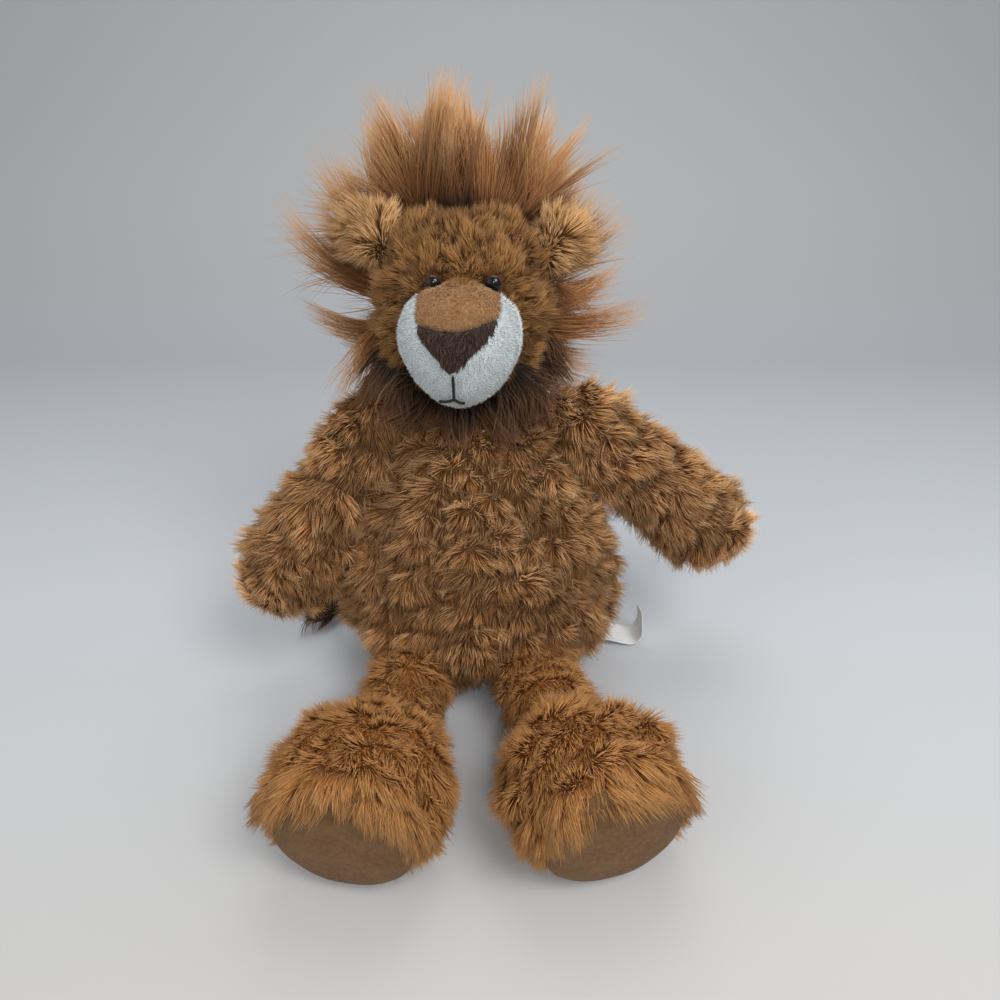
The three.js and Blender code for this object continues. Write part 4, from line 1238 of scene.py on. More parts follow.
@dataclass
class Torso:
    """The seated torso and the ball in its neck."""

    width: float = 0.182
    depth: float = 0.145
    height: float = 0.176
    base_round: float = 0.012
    neck_round: float = 0.017
    neck_shift: float = -0.004
    widths: Shares = (0.84, 0.96, 1, 0.985, 0.92, 0.83, 0.74, 0.61)
    depths: Shares = (0.82, 0.95, 1, 0.99, 0.94, 0.84, 0.73, 0.6)
    leans: Shares = (-0.02, -0.045, -0.055, -0.055, -0.05, -0.035, -0.02, 0)
    neck: Point = (-0.004, 0.0, 0.1916)
    neck_ball: float = 0.0226
    neck_tall: float = 1.16
    skin: Skin | None = None

    def form(self) -> Form:
        """The torso's stuffed form."""
        lean, across, deep = smooth(self.leans), smooth(self.widths), smooth(self.depths)
        low, high = self.base_round - 0.0005, self.height - self.neck_round
        return Form(
            spine=lambda t: Vector((self.neck_shift * t, self.depth * lean(t), low + (high - low) * t)),
            girth=lambda t: (self.width / 2 * across(t), self.depth / 2 * deep(t)),
            root=Cap(self.base_round, 4),
            tip=Cap(self.neck_round),
            straight=Vector((0, 0, 1)),
            sides=56,
            rings=28,
        )

    def sewn(self, wardrobe: Wardrobe) -> Skin:
        """Sews the torso's skin."""

        def comb(places: Rows, up: Rows) -> Rows:
            """Down, and away from the middle."""
            return np.stack([places[:, 0] * 6 - 0.05, np.zeros(len(places)), np.full(len(places), -1.0)], axis=1)

        lumps = {"lump": (0.026, 0.026, 0.0115), "lump_height": 0.0054, "stuffing": Stuffing(voxel=0.0045)}
        self.skin = Skin("torso_skin", "torso", ("torso_cover",), self.form(), Matrix.Identity(4), comb, **lumps)
        return self.skin.make(wardrobe.backing, "body_fur")

    def necked(self, wardrobe: Wardrobe) -> None:
        """Makes the cloth ball that fills the neck when the head nods or turns."""
        name = "neck_ball_skin"
        shape = bmesh.new()
        tall = Matrix.Diagonal((1, 1, self.neck_tall, 1))
        bmesh.ops.create_icosphere(shape, subdivisions=4, radius=self.neck_ball, matrix=tall)
        mesh = bpy.data.meshes.new(name)
        shape.to_mesh(mesh)
        shape.free()
        mesh.transform(Matrix.Translation(self.neck))
        mesh.shade_smooth()
        ball = Shop.dress(Shop.shown(name, mesh), wardrobe.backing, "torso", "body_fur")

    def furred(self, wardrobe: Wardrobe) -> None:
        """Plants the torso's pile."""

        def bare(places: Rows, up: Rows) -> Rows:
            """Less pile on the back and little under the seat."""
            back = np.clip(up[:, 1] * 1.2, 0, 1)
            return np.where(up[:, 2] < -0.6, 0.2, 1 - 0.3 * back)

        self.necked(wardrobe)
        cut = uneven(0.96, 0.16, 0.025, 5.0)
        changes = {"bare": bare, "cut": cut, "stir": 0.5, "patch": 0.02, "crests": 0.4}
        wardrobe.planted(self.skin, wardrobe.body, "torso_fur", 11, **changes)


@dataclass
class Limb(Framed):
    """An arm with its paw, from its shoulder."""

    side: Side
    pivot: Point
    lean: float
    forward: float
    reach: float = 0.102
    radii: Shares = (0.027, 0.0295, 0.0305, 0.033)
    skin: Skin | None = None

    def place(self) -> Matrix:
        """Where the arm stands, hanging along its own -Z."""
        turn = Matrix.Rotation(math.radians(-self.side.value * self.lean), 4, "Y")
        return Matrix.Translation(self.pivot) @ turn @ Matrix.Rotation(math.radians(-self.forward), 4, "X")

    def sewn(self, wardrobe: Wardrobe) -> Skin:
        """Sews the arm's skin."""
        radius = smooth(self.radii)
        place = self.place()
        down = np.array((place.to_3x3() @ Vector((0, 0, -1)))[:])
        root = np.array(place.translation[:])

        def comb(places: Rows, up: Rows) -> Rows:
            """Down the arm, and outwards at its tip."""
            along = ((places - root) @ down) / self.reach
            axis = places - root - np.outer((places - root) @ down, down)
            tip = np.clip((along - 0.85) / 0.35, 0, 1)[:, None]
            return down * (1 - tip) + unit(axis) * tip * 1.2 + np.array((0, 0, -0.25))

        form = Form(
            spine=lambda t: Vector((0, 0, -self.reach * t)),
            girth=lambda t: (radius(t), radius(t)),
            root=Cap(self.radii[0]),
            tip=Cap(self.radii[-1]),
            straight=Vector((0, 0, -1)),
            sides=36,
        )
        name = f"{self.side.word}_arm"
        lumps = {"lump": (0.026, 0.026, 0.012), "lump_height": 0.004, "stuffing": Stuffing(voxel=0.004)}
        self.skin = Skin(f"{name}_skin", name, (f"{name}_cover",), form, place, comb, **lumps)
        return self.skin.make(wardrobe.backing, "body_fur")

    def furred(self, wardrobe: Wardrobe) -> None:
        """Plants the arm's pile."""
        name, seed = f"{self.side.word}_arm_fur", 21 + self.side.value
        changes = {"cut": uneven(1.0, 0.2, 0.02, 9.0), "stir": 0.5, "patch": 0.02, "crests": 0.4}
        wardrobe.planted(self.skin, wardrobe.body, name, seed, **changes)


@dataclass
class Leg(Framed):
    """A leg with its foot and suede sole, from its hip."""

    side: Side
    pivot: Point
    splay: float
    reach: float = 0.076
    radii: Shares = (0.028, 0.027, 0.027, 0.0255)
    foot_width: float = 0.097
    foot_height: float = 0.083
    foot_length: float = 0.064
    heel: float = 0.018
    toe: float = 0.022
    foot_shares: Shares = (0.6, 0.82, 0.96, 1, 0.95)
    middle: float = 0.0135
    sole_width: float = 0.070
    sole_height: float = 0.065
    sole_thick: float = 0.002
    crown: float = 0.0022
    sole_inset: float = 0.0025
    leg_skin: Skin | None = None
    foot_skin: Skin | None = None

    def place(self) -> Matrix:
        """Where the leg stands, pointing along its own -Y."""
        return Matrix.Translation(self.pivot) @ Matrix.Rotation(math.radians(self.splay), 4, "Z")

    def sewn(self, wardrobe: Wardrobe) -> list[Skin]:
        """Sews the skins of the leg and the foot."""
        place, radius, across = self.place(), smooth(self.radii), smooth(self.foot_shares)
        ahead = self.spun(np.array((0, -1, 0)))
        drop = self.radii[-1] - self.radii[0]
        side = self.side.word

        def comb(places: Rows, up: Rows) -> Rows:
            """Forward and down."""
            return ahead + np.array((0, 0, -0.35)) + 0.2 * up

        def comb_foot(places: Rows, up: Rows) -> Rows:
            """Forward, then down over the top of the toe and outwards under it."""
            own = self.local(places)
            front = np.clip((-own[:, 1] - self.reach - 0.045) / 0.015, 0, 1)[:, None]
            under = (own[:, 2] < self.middle).astype(float)[:, None]
            out = self.spun(self.outward(own))
            down = np.array((0, 0, 0.8)) * (1 - under) * front
            return ahead * (1.0 - 0.3 * front) + out * front * (under * 0.9 - 0.15) - down

        leg = Form(
            spine=lambda t: Vector((0, -self.reach * t, drop * t)),
            girth=lambda t: (radius(t), radius(t)),
            root=Cap(self.radii[0]),
            tip=Cap(self.radii[-1]),
            sides=36,
        )
        end = self.foot_length - self.toe + self.sole_inset
        foot = Form(
            spine=lambda t: Vector((0, -self.reach - end * t, self.middle)),
            girth=lambda t: (self.foot_width / 2 * across(t), self.foot_height / 2 * across(t)),
            root=Cap(self.heel),
            tip=Cap(self.toe, 4),
            sides=48,
        )
        stuffing = Stuffing(voxel=0.004, cap=0.003)
        skins = []
        for part, form, way, inset, lump in (
            ("leg", leg, comb, 0.0085, (0.026, 0.011, 0.026)),
            ("foot", foot, comb_foot, 0.008, (0.024, 0.013, 0.024)),
        ):
            name = f"{side}_{part}"
            skin = Skin(f"{name}_skin", name, (f"{name}_cover",), form, place, way, inset, stuffing, lump=lump)
            skins.append(skin.make(wardrobe.leg_backing, "leg_fur"))
        self.leg_skin, self.foot_skin = skins
        self.flattened()
        return skins

    def outward(self, own: Rows) -> Rows:
        """The directions away from the foot's axis, in the leg's own frame."""
        return unit(np.stack([own[:, 0], np.zeros(len(own)), own[:, 2] - self.middle], axis=1))

    def in_toe(self, own: Rows, thick: float) -> Rows:
        """Which places in the leg's own frame lie in the front of the foot."""
        return own[:, 1] < -self.reach - self.foot_length + thick

    def flattened(self) -> None:
        """Presses the front of the foot flat behind the sole and widens it to the sole's rim."""
        piece = self.foot_skin.piece
        places = Shop.points(piece)
        own, reach = self.local(places), self.oval(places)
        limit = -self.reach - self.foot_length + 0.0012
        own[:, 1] = np.where(own[:, 1] < limit, limit, own[:, 1])
        narrow = 0.78
        rim = (own[:, 1] < limit + 0.006) & (reach > narrow) & (reach < 1.0)
        widened = np.where(rim, 1 / np.maximum(reach, narrow), 1.0)
        own[:, 0] *= widened
        own[:, 2] = self.middle + (own[:, 2] - self.middle) * widened
        Shop.put(piece, placed(self.place(), own))

    def oval(self, places: Rows) -> Rows:
        """How far places lie from the sole's middle, 1 at its edge."""
        own = self.local(places)
        return np.hypot(own[:, 0] / (self.sole_width / 2), (own[:, 2] - self.middle) / (self.sole_height / 2))

    def rim(self, places: Rows, up: Rows) -> Rows:
        """The upper rim of the toe, where the fringe hangs from."""
        own = self.local(places)
        high = own[:, 2] > self.middle - 0.006
        return (self.in_toe(own, 0.014) & high & (self.oval(places) > 0.93)).astype(float)

    def toed(self, places: Rows, up: Rows) -> Rows:
        """How long the tufts over the sole are: longest at the top of the foot."""
        return np.clip(0.5 + (self.local(places)[:, 2] - self.middle) / 0.03, 0.5, 1.0)

    def furred(self, wardrobe: Wardrobe) -> None:
        """Plants the pile of the leg and the foot."""
        side, uneven_foot = self.side, uneven(1.0, 0.2, 0.02, 6.0)

        def bare(places: Rows, up: Rows) -> Rows:
            """No pile behind the sole."""
            return np.where(self.in_toe(self.local(places), 0.012) & (self.oval(places) < 1.01), 0.0, 1.0)

        def longer(places: Rows, up: Rows) -> Rows:
            """Uneven lengths on the foot, half as long beside the lower half of the sole."""
            own = self.local(places)
            low = self.in_toe(own, 0.012) & (own[:, 2] < self.middle - 0.018)
            return uneven_foot(places, up) * np.where(low, 0.5, 1.0)

        def hang(places: Rows, up: Rows) -> Rows:
            """Forward and down over the sole."""
            return self.spun(self.outward(self.local(places)) * 0.5 + np.array((0, -1, -0.4)))

        cut = uneven(0.95, 0.2, 0.018, 2.0)
        wardrobe.planted(self.leg_skin, wardrobe.leg, f"{side.word}_leg_fur", 31 + side.value, cut=cut, crests=0.3)
        rough = {"bare": bare, "cut": longer, "stir": 0.55, "patch": 0.02, "crests": 0.3}
        wardrobe.planted(self.foot_skin, wardrobe.leg, f"{side.word}_foot_fur", 41 + side.value, **rough)
        loose = {"bare": self.rim, "cut": self.toed, "stir": 0.3, "patch": 0.012, "free": True, "droop": 1.5}
        fringed = replace(self.foot_skin, comb=hang)
        wardrobe.planted(fringed, wardrobe.fringe, f"{side.word}_toe_fringe", 45 + side.value, **loose)

    def soled(self, suede: Material) -> None:
        """Cuts and crowns the suede sole, turned under at its edge."""
        rings, around = 14, 72
        points: list[Point] = []
        start = -self.reach - self.foot_length - 0.0004
        for face in (1, 0):
            for ring in range(1, rings + 1):
                r = math.sin(ring / rings * math.pi / 2)
                for k in range(around):
                    turn = math.tau * k / around
                    edge = 1 + 0.008 * math.sin(5 * turn + self.side.value) + 0.006 * math.sin(9 * turn)
                    x = math.cos(turn) * r * edge * self.sole_width / 2
                    z = math.sin(turn) * r * edge * self.sole_height / 2
                    spot = Vector((x * 60, z * 60, 2.0 * self.side.value))
                    dent = noise.noise(spot) * 0.0008 * (1 - r**2)
                    roll = math.sqrt(max(0.0, 1 - r**8))
                    deep = face * (self.sole_thick * roll + self.crown * (1 - r**2) + dent)
                    points.append((x, start - deep, self.middle + z))
        front, rear = len(points), len(points) + 1
        points += [(0, start - self.sole_thick - self.crown, self.middle), (0, start, self.middle)]
        faces: list[tuple[int, ...]] = []
        size = rings * around
        for k in range(around):
            nxt = (k + 1) % around
            faces += [(front, k, nxt), (rear, size + nxt, size + k)]
            for ring in range(rings - 1):
                a = ring * around
                faces.append((a + k, a + around + k, a + around + nxt, a + nxt))
                faces.append((size + a + k, size + a + nxt, size + a + around + nxt, size + a + around + k))
            last = size - around
            faces.append((last + k, size + last + k, size + last + nxt, last + nxt))
        place = self.place()
        piece = Shop.piece(f"{self.side.word}_sole_panel", [place @ Vector(p) for p in points], faces)
        Shop.dress(piece, suede, f"{self.side.word}_foot", "sole_suede")
        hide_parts(f"{self.side.word}_sole")


@dataclass
class Tail:
    """The tail, curled on the floor behind the lion, and its tuft."""

    pivot: Point = (0.0, 0.06235, 0.0085)
    radius: float = 0.009
    reach: float = 0.106
    behind: float = 0.016
    sides: Shares = (0, -0.16, -0.42, -0.68, -0.88, -0.97)
    bows: Shares = (0, 0.85, 1.25, 1, 0.1, -1.1)
    tuft: float = 0.046
    tuft_radius: float = 0.013
    tuft_shares: Shares = (0.75, 1, 0.9, 0.5)
    skin: Skin | None = None
    tuft_skin: Skin | None = None

    def spine(self, t: float) -> Vector:
        """The tail's route."""
        return Vector((self.reach * smooth(self.sides)(t), self.behind * smooth(self.bows)(t), 0))

    def sewn(self, wardrobe: Wardrobe) -> list[Skin]:
        """Sews the skins of the tail and the tuft's core."""
        place = Matrix.Translation(self.pivot)
        route = np.array([(place @ self.spine(i / 40))[:] for i in range(41)])
        end = self.spine(1)
        way = (self.spine(1) - self.spine(0.97)).normalized()
        shares = smooth(self.tuft_shares)

        def comb(places: Rows, up: Rows) -> Rows:
            """Along the tail."""
            near = np.argmin(((places[:, None, :] - route[None]) ** 2).sum(axis=2), axis=1)
            return np.gradient(route, axis=0)[near] * 300

        tail = Form(
            spine=self.spine,
            girth=lambda t: (self.radius, self.radius),
            side=Vector((0, 0, 1)),
            root=Cap(self.radius),
            tip=Cap(self.radius),
            sides=20,
            rings=30,
        )
        core = Form(
            spine=lambda t: end + way * (self.tuft * t * 0.8),
            girth=lambda t: (self.radius * shares(t), self.tuft_radius * shares(t)),
            side=Vector((0, 0, 1)),
            root=Cap(self.radius / 2),
            tip=Cap(self.tuft_radius * 0.6),
            sides=20,
        )
        thin = Stuffing(voxel=0.002, cap=0.001)
        cover, tuft = ("tail_cover",), ("tail_tuft",)
        self.skin = Skin("tail_skin", "tail", cover, tail, place, comb, 0.0045, thin, lump_height=0.0008)
        self.skin.make(wardrobe.backing, "body_fur")
        comb = one_way(way)
        self.tuft_skin = Skin("tail_tuft_core", "tail", tuft, core, place, comb, 0.0055, thin, lump_height=0.0005)
        self.tuft_skin.make(wardrobe.mane_backing, "mane_fur")
        return [self.skin, self.tuft_skin]

    def furred(self, wardrobe: Wardrobe) -> None:
        """Plants the pile of the tail and the tuft's long hair."""
        wardrobe.planted(self.skin, wardrobe.body, "tail_fur", 51, cut=same(0.62), buried=0.004)
        wardrobe.planted(self.tuft_skin, wardrobe.chin, "tail_tuft_hair", 52, cut=same(0.62), buried=0.02)


class Region(Enum):
    """The stretches of the mane, each with its node and the turns around the head between which it grows."""

    TOP = ("mane_top", 46.0, 132.0)
    RIGHT = ("mane_right", 128.0, 238.0)
    LEFT = ("mane_left", -58.0, 50.0)


@dataclass
class Head(Framed):
    """The head: its furred skin, ears, eyes, muzzle, nose, mouth and mane."""

    centre: Point = (-0.007, -0.010, 0.24158)
    width: float = 0.097
    depth: float = 0.092
    height: float = 0.098
    middle: float = 0.3
    across: Shares = (0.86, 0.98, 1, 0.96, 0.82)
    tilt: float = 3.0
    nod: float = 8.0
    muzzle_width: float = 0.062
    muzzle_height: float = 0.063
    muzzle_front: float = -0.083
    muzzle_drop: float = 0.010
    muzzle_inset: float = 0.0018
    eye_x: float = 0.0145
    eye_z: float = 0.021
    eye_radius: float = 0.0045
    eye_shift: float = 0.002
    eye_sink: float = 0.0016
    eye_dome: float = 0.0039
    eye_shank: float = 0.0018
    nose_half: float = 0.0185
    nose_drop: float = 0.017
    nose_height: float = 0.023
    bridge_height: float = 0.017
    bridge_top: float = 0.0135
    bridge_half: float = 0.019
    ear_width: float = 0.034
    ear_length: float = 0.0255
    ear_root: float = 0.0055
    ear_angle: float = 33.0
    ear_shares: Shares = (0.72, 0.95, 1, 0.9)
    ear_roots: tuple[Point, ...] = ((-0.04573, -0.00769, 0.27032), (0.03452, -0.00769, 0.26612))
    mane_start: float = 0.013
    mane_end: float = 0.038
    lock_turns: Shares = (
        *(-58, -30, -10, 4, 14, 27, 31, 40, 44, 60, 70, 76),
        *(90, 102, 104, 118, 130, 132, 143, 148, 165, 188, 215, 238),
    )
    lock_ways: Shares = (
        *(-58, -34, -14, 0, 18, 27, 37, 40, 62, 66, 72, 94),
        *(98, 99, 94, 98, 104, 118, 124, 150, 168, 188, 206, 236),
    )
    lock_lengths: Shares = (
        *(0.66, 0.8, 0.84, 0.78, 0.7, 0.7, 0.78, 0.6, 0.8, 1.06, 0.7, 0.62),
        *(1.0, 0.62, 0.9, 1.08, 0.72, 0.85, 0.7, 0.85, 0.93, 0.86, 0.78, 0.7),
    )
    panel_edge: float = 0.004
    panel_step: float = 0.0013
    mouth_thread: float = 0.00075
    mouth_line: float = 0.0128
    brow: float = 0.2555
    nose_lean: float = 0.0030
    nose_rise: float = 0.0028
    mouth_lean: float = 0.0021
    mouth_halves: tuple[float, float] = (0.0072, 0.0046)
    mouth_drop: float = 0.0026
    skin: Skin | None = None
    ears: list[Skin] = field(default_factory=list)
    muzzle: Skin | None = None

    def place(self) -> Matrix:
        """Where the head stands."""
        turn = Matrix.Rotation(math.radians(self.tilt), 4, "Y") @ Matrix.Rotation(math.radians(self.nod), 4, "X")
        return Matrix.Translation(self.centre) @ turn

    def form(self) -> Form:
        """The head's stuffed form."""
        share, end = smooth(self.across), self.height * (0.5 - self.middle)
        return Form(
            spine=lambda t: Vector((0, 0, self.height * self.middle * (2 * t - 1))),
            girth=lambda t: (self.width / 2 * share(t), self.depth / 2 * share(t)),
            root=Cap(end, 2.3),
            tip=Cap(end, 2.3),
            straight=Vector((0, 0, 1)),
            sides=48,
        )

    def muzzle_form(self) -> Form:
        """The muzzle's form, narrower between the eyes."""
        root, tip = 0.009, 0.027
        start, end = self.centre[1], self.muzzle_front + tip
        return Form(
            spine=lambda t: Vector((self.centre[0], start + (end - start) * t, self.centre[2] - self.muzzle_drop)),
            girth=lambda t: (self.muzzle_width / 2, self.muzzle_height / 2),
            root=Cap(root, 4),
            tip=Cap(tip),
            taper=-0.2,
            sides=72,
            rings=16,
            cap_rings=18,
        )

    def sewn(self, wardrobe: Wardrobe) -> list[Skin]:
        """Sews the skins of the head, the muzzle and the ears."""
        place = self.place()
        face = np.array((self.centre[0], self.muzzle_front, self.centre[2] - 0.004))

        def comb(places: Rows, up: Rows) -> Rows:
            """Away from the muzzle, and back."""
            return unit((places - face) * (1, 0.4, 1)) + np.array((0, 0.25, 0.1))

        soft = {"inset": 0.0075, "lump": (0.014, 0.014, 0.010), "lump_height": 0.0036}
        soft["stuffing"] = Stuffing(voxel=0.004, cap=0.002)
        self.skin = Skin("head_skin", "head", ("head_cover",), self.form(), place, comb, **soft)
        self.skin.make(wardrobe.backing, "body_fur")
        self.muzzle = Skin(
            "muzzle_skin",
            "head",
            ("muzzle",),
            self.muzzle_form(),
            Matrix.Identity(4),
            lambda p, u: (p - face) * (1, 0.2, 1) * 20,
            inset=self.muzzle_inset + 0.0006,
            stuffing=Stuffing(voxel=0.0025, cap=0.0008),
            lump=(0.03, 0.03, 0.03),
            lump_height=0.0004,
        )
        share = smooth(self.ear_shares)
        for side, root in zip(Side, self.ear_roots):
            angle = math.radians(self.ear_angle)
            along = (place.to_3x3() @ Vector((side.value * math.cos(angle), 0, math.sin(angle)))).normalized()
            hinge = (place.to_3x3() @ Vector((-math.sin(angle), 0, math.cos(angle) * side.value))).normalized()
            start = Vector(root)
            reach = self.ear_length - self.ear_root
            form = Form(
                spine=lambda t, start=start, along=along, reach=reach: start + along * (reach * t),
                girth=lambda t: (self.ear_width / 2 * share(t), self.ear_root),
                side=hinge,
                root=Cap(self.ear_root / 2),
                tip=Cap(self.ear_root, 2.3),
                straight=along,
                sides=36,
            )
            centre = np.array((start + along * 0.008)[:])
            ear = Skin(
                f"{side.word}_ear_skin",
                f"{side.word}_ear",
                (f"{side.word}_ear",),
                form,
                Matrix.Identity(4),
                lambda p, u, c=centre, a=np.array(along[:]): (p - c) * 45 + a * 0.3,
                inset=0.0030,
                stuffing=Stuffing(voxel=0.0025, cap=0.0008),
                lump=(0.008, 0.008, 0.008),
                lump_height=0.0008,
            )
            self.ears.append(ear.make(wardrobe.backing, "leg_fur"))
        return [self.skin, *self.ears]

    def on_muzzle(self, tree: BVHTree, x: float, z: float) -> tuple[Vector, Vector]:
        """The point of the muzzle straight behind a point of the front view, and its normal."""
        hit, normal, _, _ = tree.ray_cast(Vector((x, -0.3, z)), Vector((0, 1, 0)))
        if hit is None:
            hit, normal, _, _ = tree.find_nearest(Vector((x, -0.05, z)))
        return hit, normal

    def panel(self, name: str, outline: Outline, thick: float) -> Piece:
        """Lays a padded panel on the muzzle within a front outline.

        Args:
            name: The piece's name.
            outline: Its corners in X and Z.
            thick: Its height in the middle.

        Returns:
            The panel.
        """
        tree, edge, step = self.muzzle.tree, self.panel_edge, self.panel_step
        ring: list[Vector] = []
        for (x0, z0), (x1, z1) in zip(outline, [*outline[1:], outline[0]]):
            count = max(1, round(math.hypot(x1 - x0, z1 - z0) / step))
            ring += [Vector((x0 + (x1 - x0) * k / count, z0 + (z1 - z0) * k / count)) for k in range(count)]

        def gap(p: Vector) -> float:
            """How far a point lies from the outline."""
            best = 1.0
            for a, b in zip(ring, [*ring[1:], ring[0]]):
                ab = b - a
                t = min(max((p - a).dot(ab) / ab.length_squared, 0), 1)
                best = min(best, (p - a - ab * t).length)
            return best

        def inside(p: Vector) -> bool:
            """Whether a point lies within the outline."""
            found = False
            for a, b in zip(ring, [*ring[1:], ring[0]]):
                if (a.y > p.y) != (b.y > p.y) and p.x < (b.x - a.x) * (p.y - a.y) / (b.y - a.y) + a.x:
                    found = not found
            return found

        points = list(ring)
        xs, zs = [p.x for p in ring], [p.y for p in ring]
        row, z = 0, min(zs)
        while z < max(zs):
            x = min(xs) + (row % 2) * step / 2
            while x < max(xs):
                p = Vector((x, z))
                if inside(p) and gap(p) > step * 0.55:
                    points.append(p)
                x += step
            z += step * 0.87
            row += 1
        flat, _, found, _, _, _ = delaunay_2d_cdt(points, [], [list(range(len(ring)))], 1, 1e-7)
        count = len(flat)
        top, base = [], []
        for p in flat:
            hit, normal = self.on_muzzle(tree, p.x, p.y)
            rise = 1 - min(gap(p) / edge, 1.0)
            top.append(hit + normal * (thick * (0.15 + 0.85 * math.sqrt(max(0.0, 1 - rise**2)))))
            base.append(hit - normal * 0.0006)
        faces = [tuple(f) for f in found]
        sides = dict.fromkeys((a, b) for f in faces for a, b in zip(f, (*f[1:], f[0])))
        walls = [(b, a, a + count, b + count) for a, b in sides if (b, a) not in sides]
        under = [tuple(i + count for i in reversed(f)) for f in faces]
        piece = Shop.piece(name, [*top, *base], [*faces, *under, *walls])
        Shop.faced_out(piece)
        return piece

    def off_eye(self, places: Rows, sign: int | Rows) -> Rows:
        """The steps in X and Z from an eye's axis to places."""
        x = self.centre[0] + sign * self.eye_x + self.eye_shift
        rise = places[:, 2] - self.centre[2] - self.eye_z + self.eye_sink
        return np.stack([places[:, 0] - x, np.zeros(len(places)), rise], axis=1)

    def from_eye(self, places: Rows, sign: int) -> Rows:
        """How far places lie from an eye's axis."""
        return np.linalg.norm(self.off_eye(places, sign), axis=1)

    def raised(self) -> None:
        """Draws the skin forward around the eyes, over their washers."""
        places = Shop.points(self.skin.piece)
        for sign in (-1, 1):
            away = self.from_eye(places, sign)
            share = np.clip(1.6 - away / 0.0085, 0, 1) * (places[:, 1] < -0.02)
            places[:, 1] += share * (np.minimum(places[:, 1], -0.0466) - places[:, 1])
        Shop.put(self.skin.piece, places)

    def off_centre(self, places: Rows, up: Rows) -> Rows:
        """The directions away from the nearer eye, where its short pile lies."""
        sign = np.where(places[:, 0] > self.centre[0] + self.eye_shift, 1, -1)
        return unit(self.off_eye(places, sign)) + np.array((0, 0, 0.15))

    def off_eyes(self, places: Rows) -> Rows:
        """How long the pile is, shorter around the eyes."""
        share = np.ones(len(places))
        for sign in (-1, 1):
            away = self.from_eye(places, sign) - self.eye_radius
            share *= np.where(places[:, 1] < -0.03, np.clip(0.42 + away / 0.012, 0.42, 1.0), 1.0)
        return share

    def furred(self, wardrobe: Wardrobe) -> None:
        """Plants the pile of the head and the ears."""
        face = self.muzzle.tree

        def clear_of(places: Rows) -> Rows:
            """No pile inside the muzzle."""
            return (Shop.depth(face, places) < 0.003).astype(float)

        def bare(places: Rows, up: Rows) -> Rows:
            """No pile in the muzzle and the eyes, and less behind the mane."""
            own = self.local(places)
            behind = (own[:, 1] > self.mane_end).astype(float)
            clear = clear_of(places)
            for sign in (-1, 1):
                away = self.from_eye(places, sign)
                clear *= np.where((away < self.eye_radius * 0.95) & (own[:, 1] < 0), 0.0, 1.0)
            return clear * (1 - behind * 0.6)

        def cut(places: Rows, up: Rows) -> Rows:
            """Shorter pile beside the muzzle and the eyes."""
            near = -Shop.depth(face, places)
            ridges = 1.0 + 0.25 * Shop.ripple(places, 0.009, 4.0)
            return ridges * self.off_eyes(places) * np.clip(0.72 + near / 0.016, 0.72, 1.0)

        changes = {"bare": bare, "cut": cut, "stir": 0.55, "patch": 0.014, "crests": 0.4}
        wardrobe.planted(self.skin, wardrobe.head, "head_fur", 61, **changes)

        def round_eyes(places: Rows, up: Rows) -> Rows:
            """A ring around each eye."""
            away = np.minimum(self.from_eye(places, -1), self.from_eye(places, 1))
            return clear_of(places) * ((away < 0.013) & (away > self.eye_radius * 0.95) & (places[:, 1] < -0.02))

        lids = replace(self.skin, comb=self.off_centre)
        wardrobe.planted(lids, wardrobe.brow, "eye_fur", 67, bare=round_eyes, stir=0.3, patch=0.01)
        for side, ear in zip(Side, self.ears):
            wardrobe.planted(ear, wardrobe.ear, f"{side.word}_ear_fur", 64 + side.value, buried=0.003, crests=0.15)

    def faced(self, wardrobe: Wardrobe, thread: Material, velour: Material, satin: Material) -> None:
        """Makes the muzzle with its plush, the bridge, the nose and the mouth."""
        tip = self.centre[2] - self.nose_drop
        top = tip + self.nose_height
        x, n, b = self.centre[0], self.nose_half, self.bridge_half
        bridge = [
            (-n * 1.02, top + 0.0004), (-n * 0.5, top - 0.0012), (0, top - 0.0018), (n * 0.5, top - 0.0012),
            (n * 1.02, top + 0.0004), (n * 1.06, top + 0.003), (b, top + self.bridge_height * 0.5),
            (b * 0.9, top + self.bridge_height * 0.78), (self.bridge_top, top + self.bridge_height),
            (0, top + self.bridge_height * 1.02), (-self.bridge_top, top + self.bridge_height),
            (-b * 0.9, top + self.bridge_height * 0.78), (-b, top + self.bridge_height * 0.5),
            (-n * 1.06, top + 0.003),
        ]
        rise = ((0.14, 0.0012), (0.36, 0.0062), (0.66, 0.0122), (0.93, 0.0185), (1, 0.0215))
        under = [(n * share, tip + height) for share, height in rise]
        over = [(n * 0.94, top), (n * 0.5, top - 0.0014), (0, top - 0.002), (-n * 0.5, top - 0.0014), (-n * 0.94, top)]
        nose = [(0, tip), *under, *over, *((-px, pz) for px, pz in reversed(under))]

        def place(outline: Outline) -> Outline:
            """Moves an outline to the middle of the muzzle and leans it as the photograph shows."""
            moved = []
            for px, pz in outline:
                low = min(max((top - pz) / self.nose_height, 0), 1)
                high = min(max(1 - (pz - top) / self.bridge_height, 0), 1)
                rise = self.nose_rise * low + 0.0022 * max(px / n, 0) * high
                moved.append((x + px - self.nose_lean * low, pz + rise))
            return moved

        bridge, nose = place(bridge), place(nose)

        def muzzle_bare(places: Rows, up: Rows) -> Rows:
            """White plush below the brow, beside the panels."""
            return self.beside([bridge, nose], places, up) * (places[:, 2] < self.brow)

        def brow_bare(places: Rows, up: Rows) -> Rows:
            """Golden pile above the brow, beside the bridge."""
            return self.beside([bridge], places, up) * (places[:, 2] >= self.brow)

        def brow_cut(places: Rows, up: Rows) -> Rows:
            """Shorter pile beside the eyes."""
            return self.off_eyes(places) * 0.9

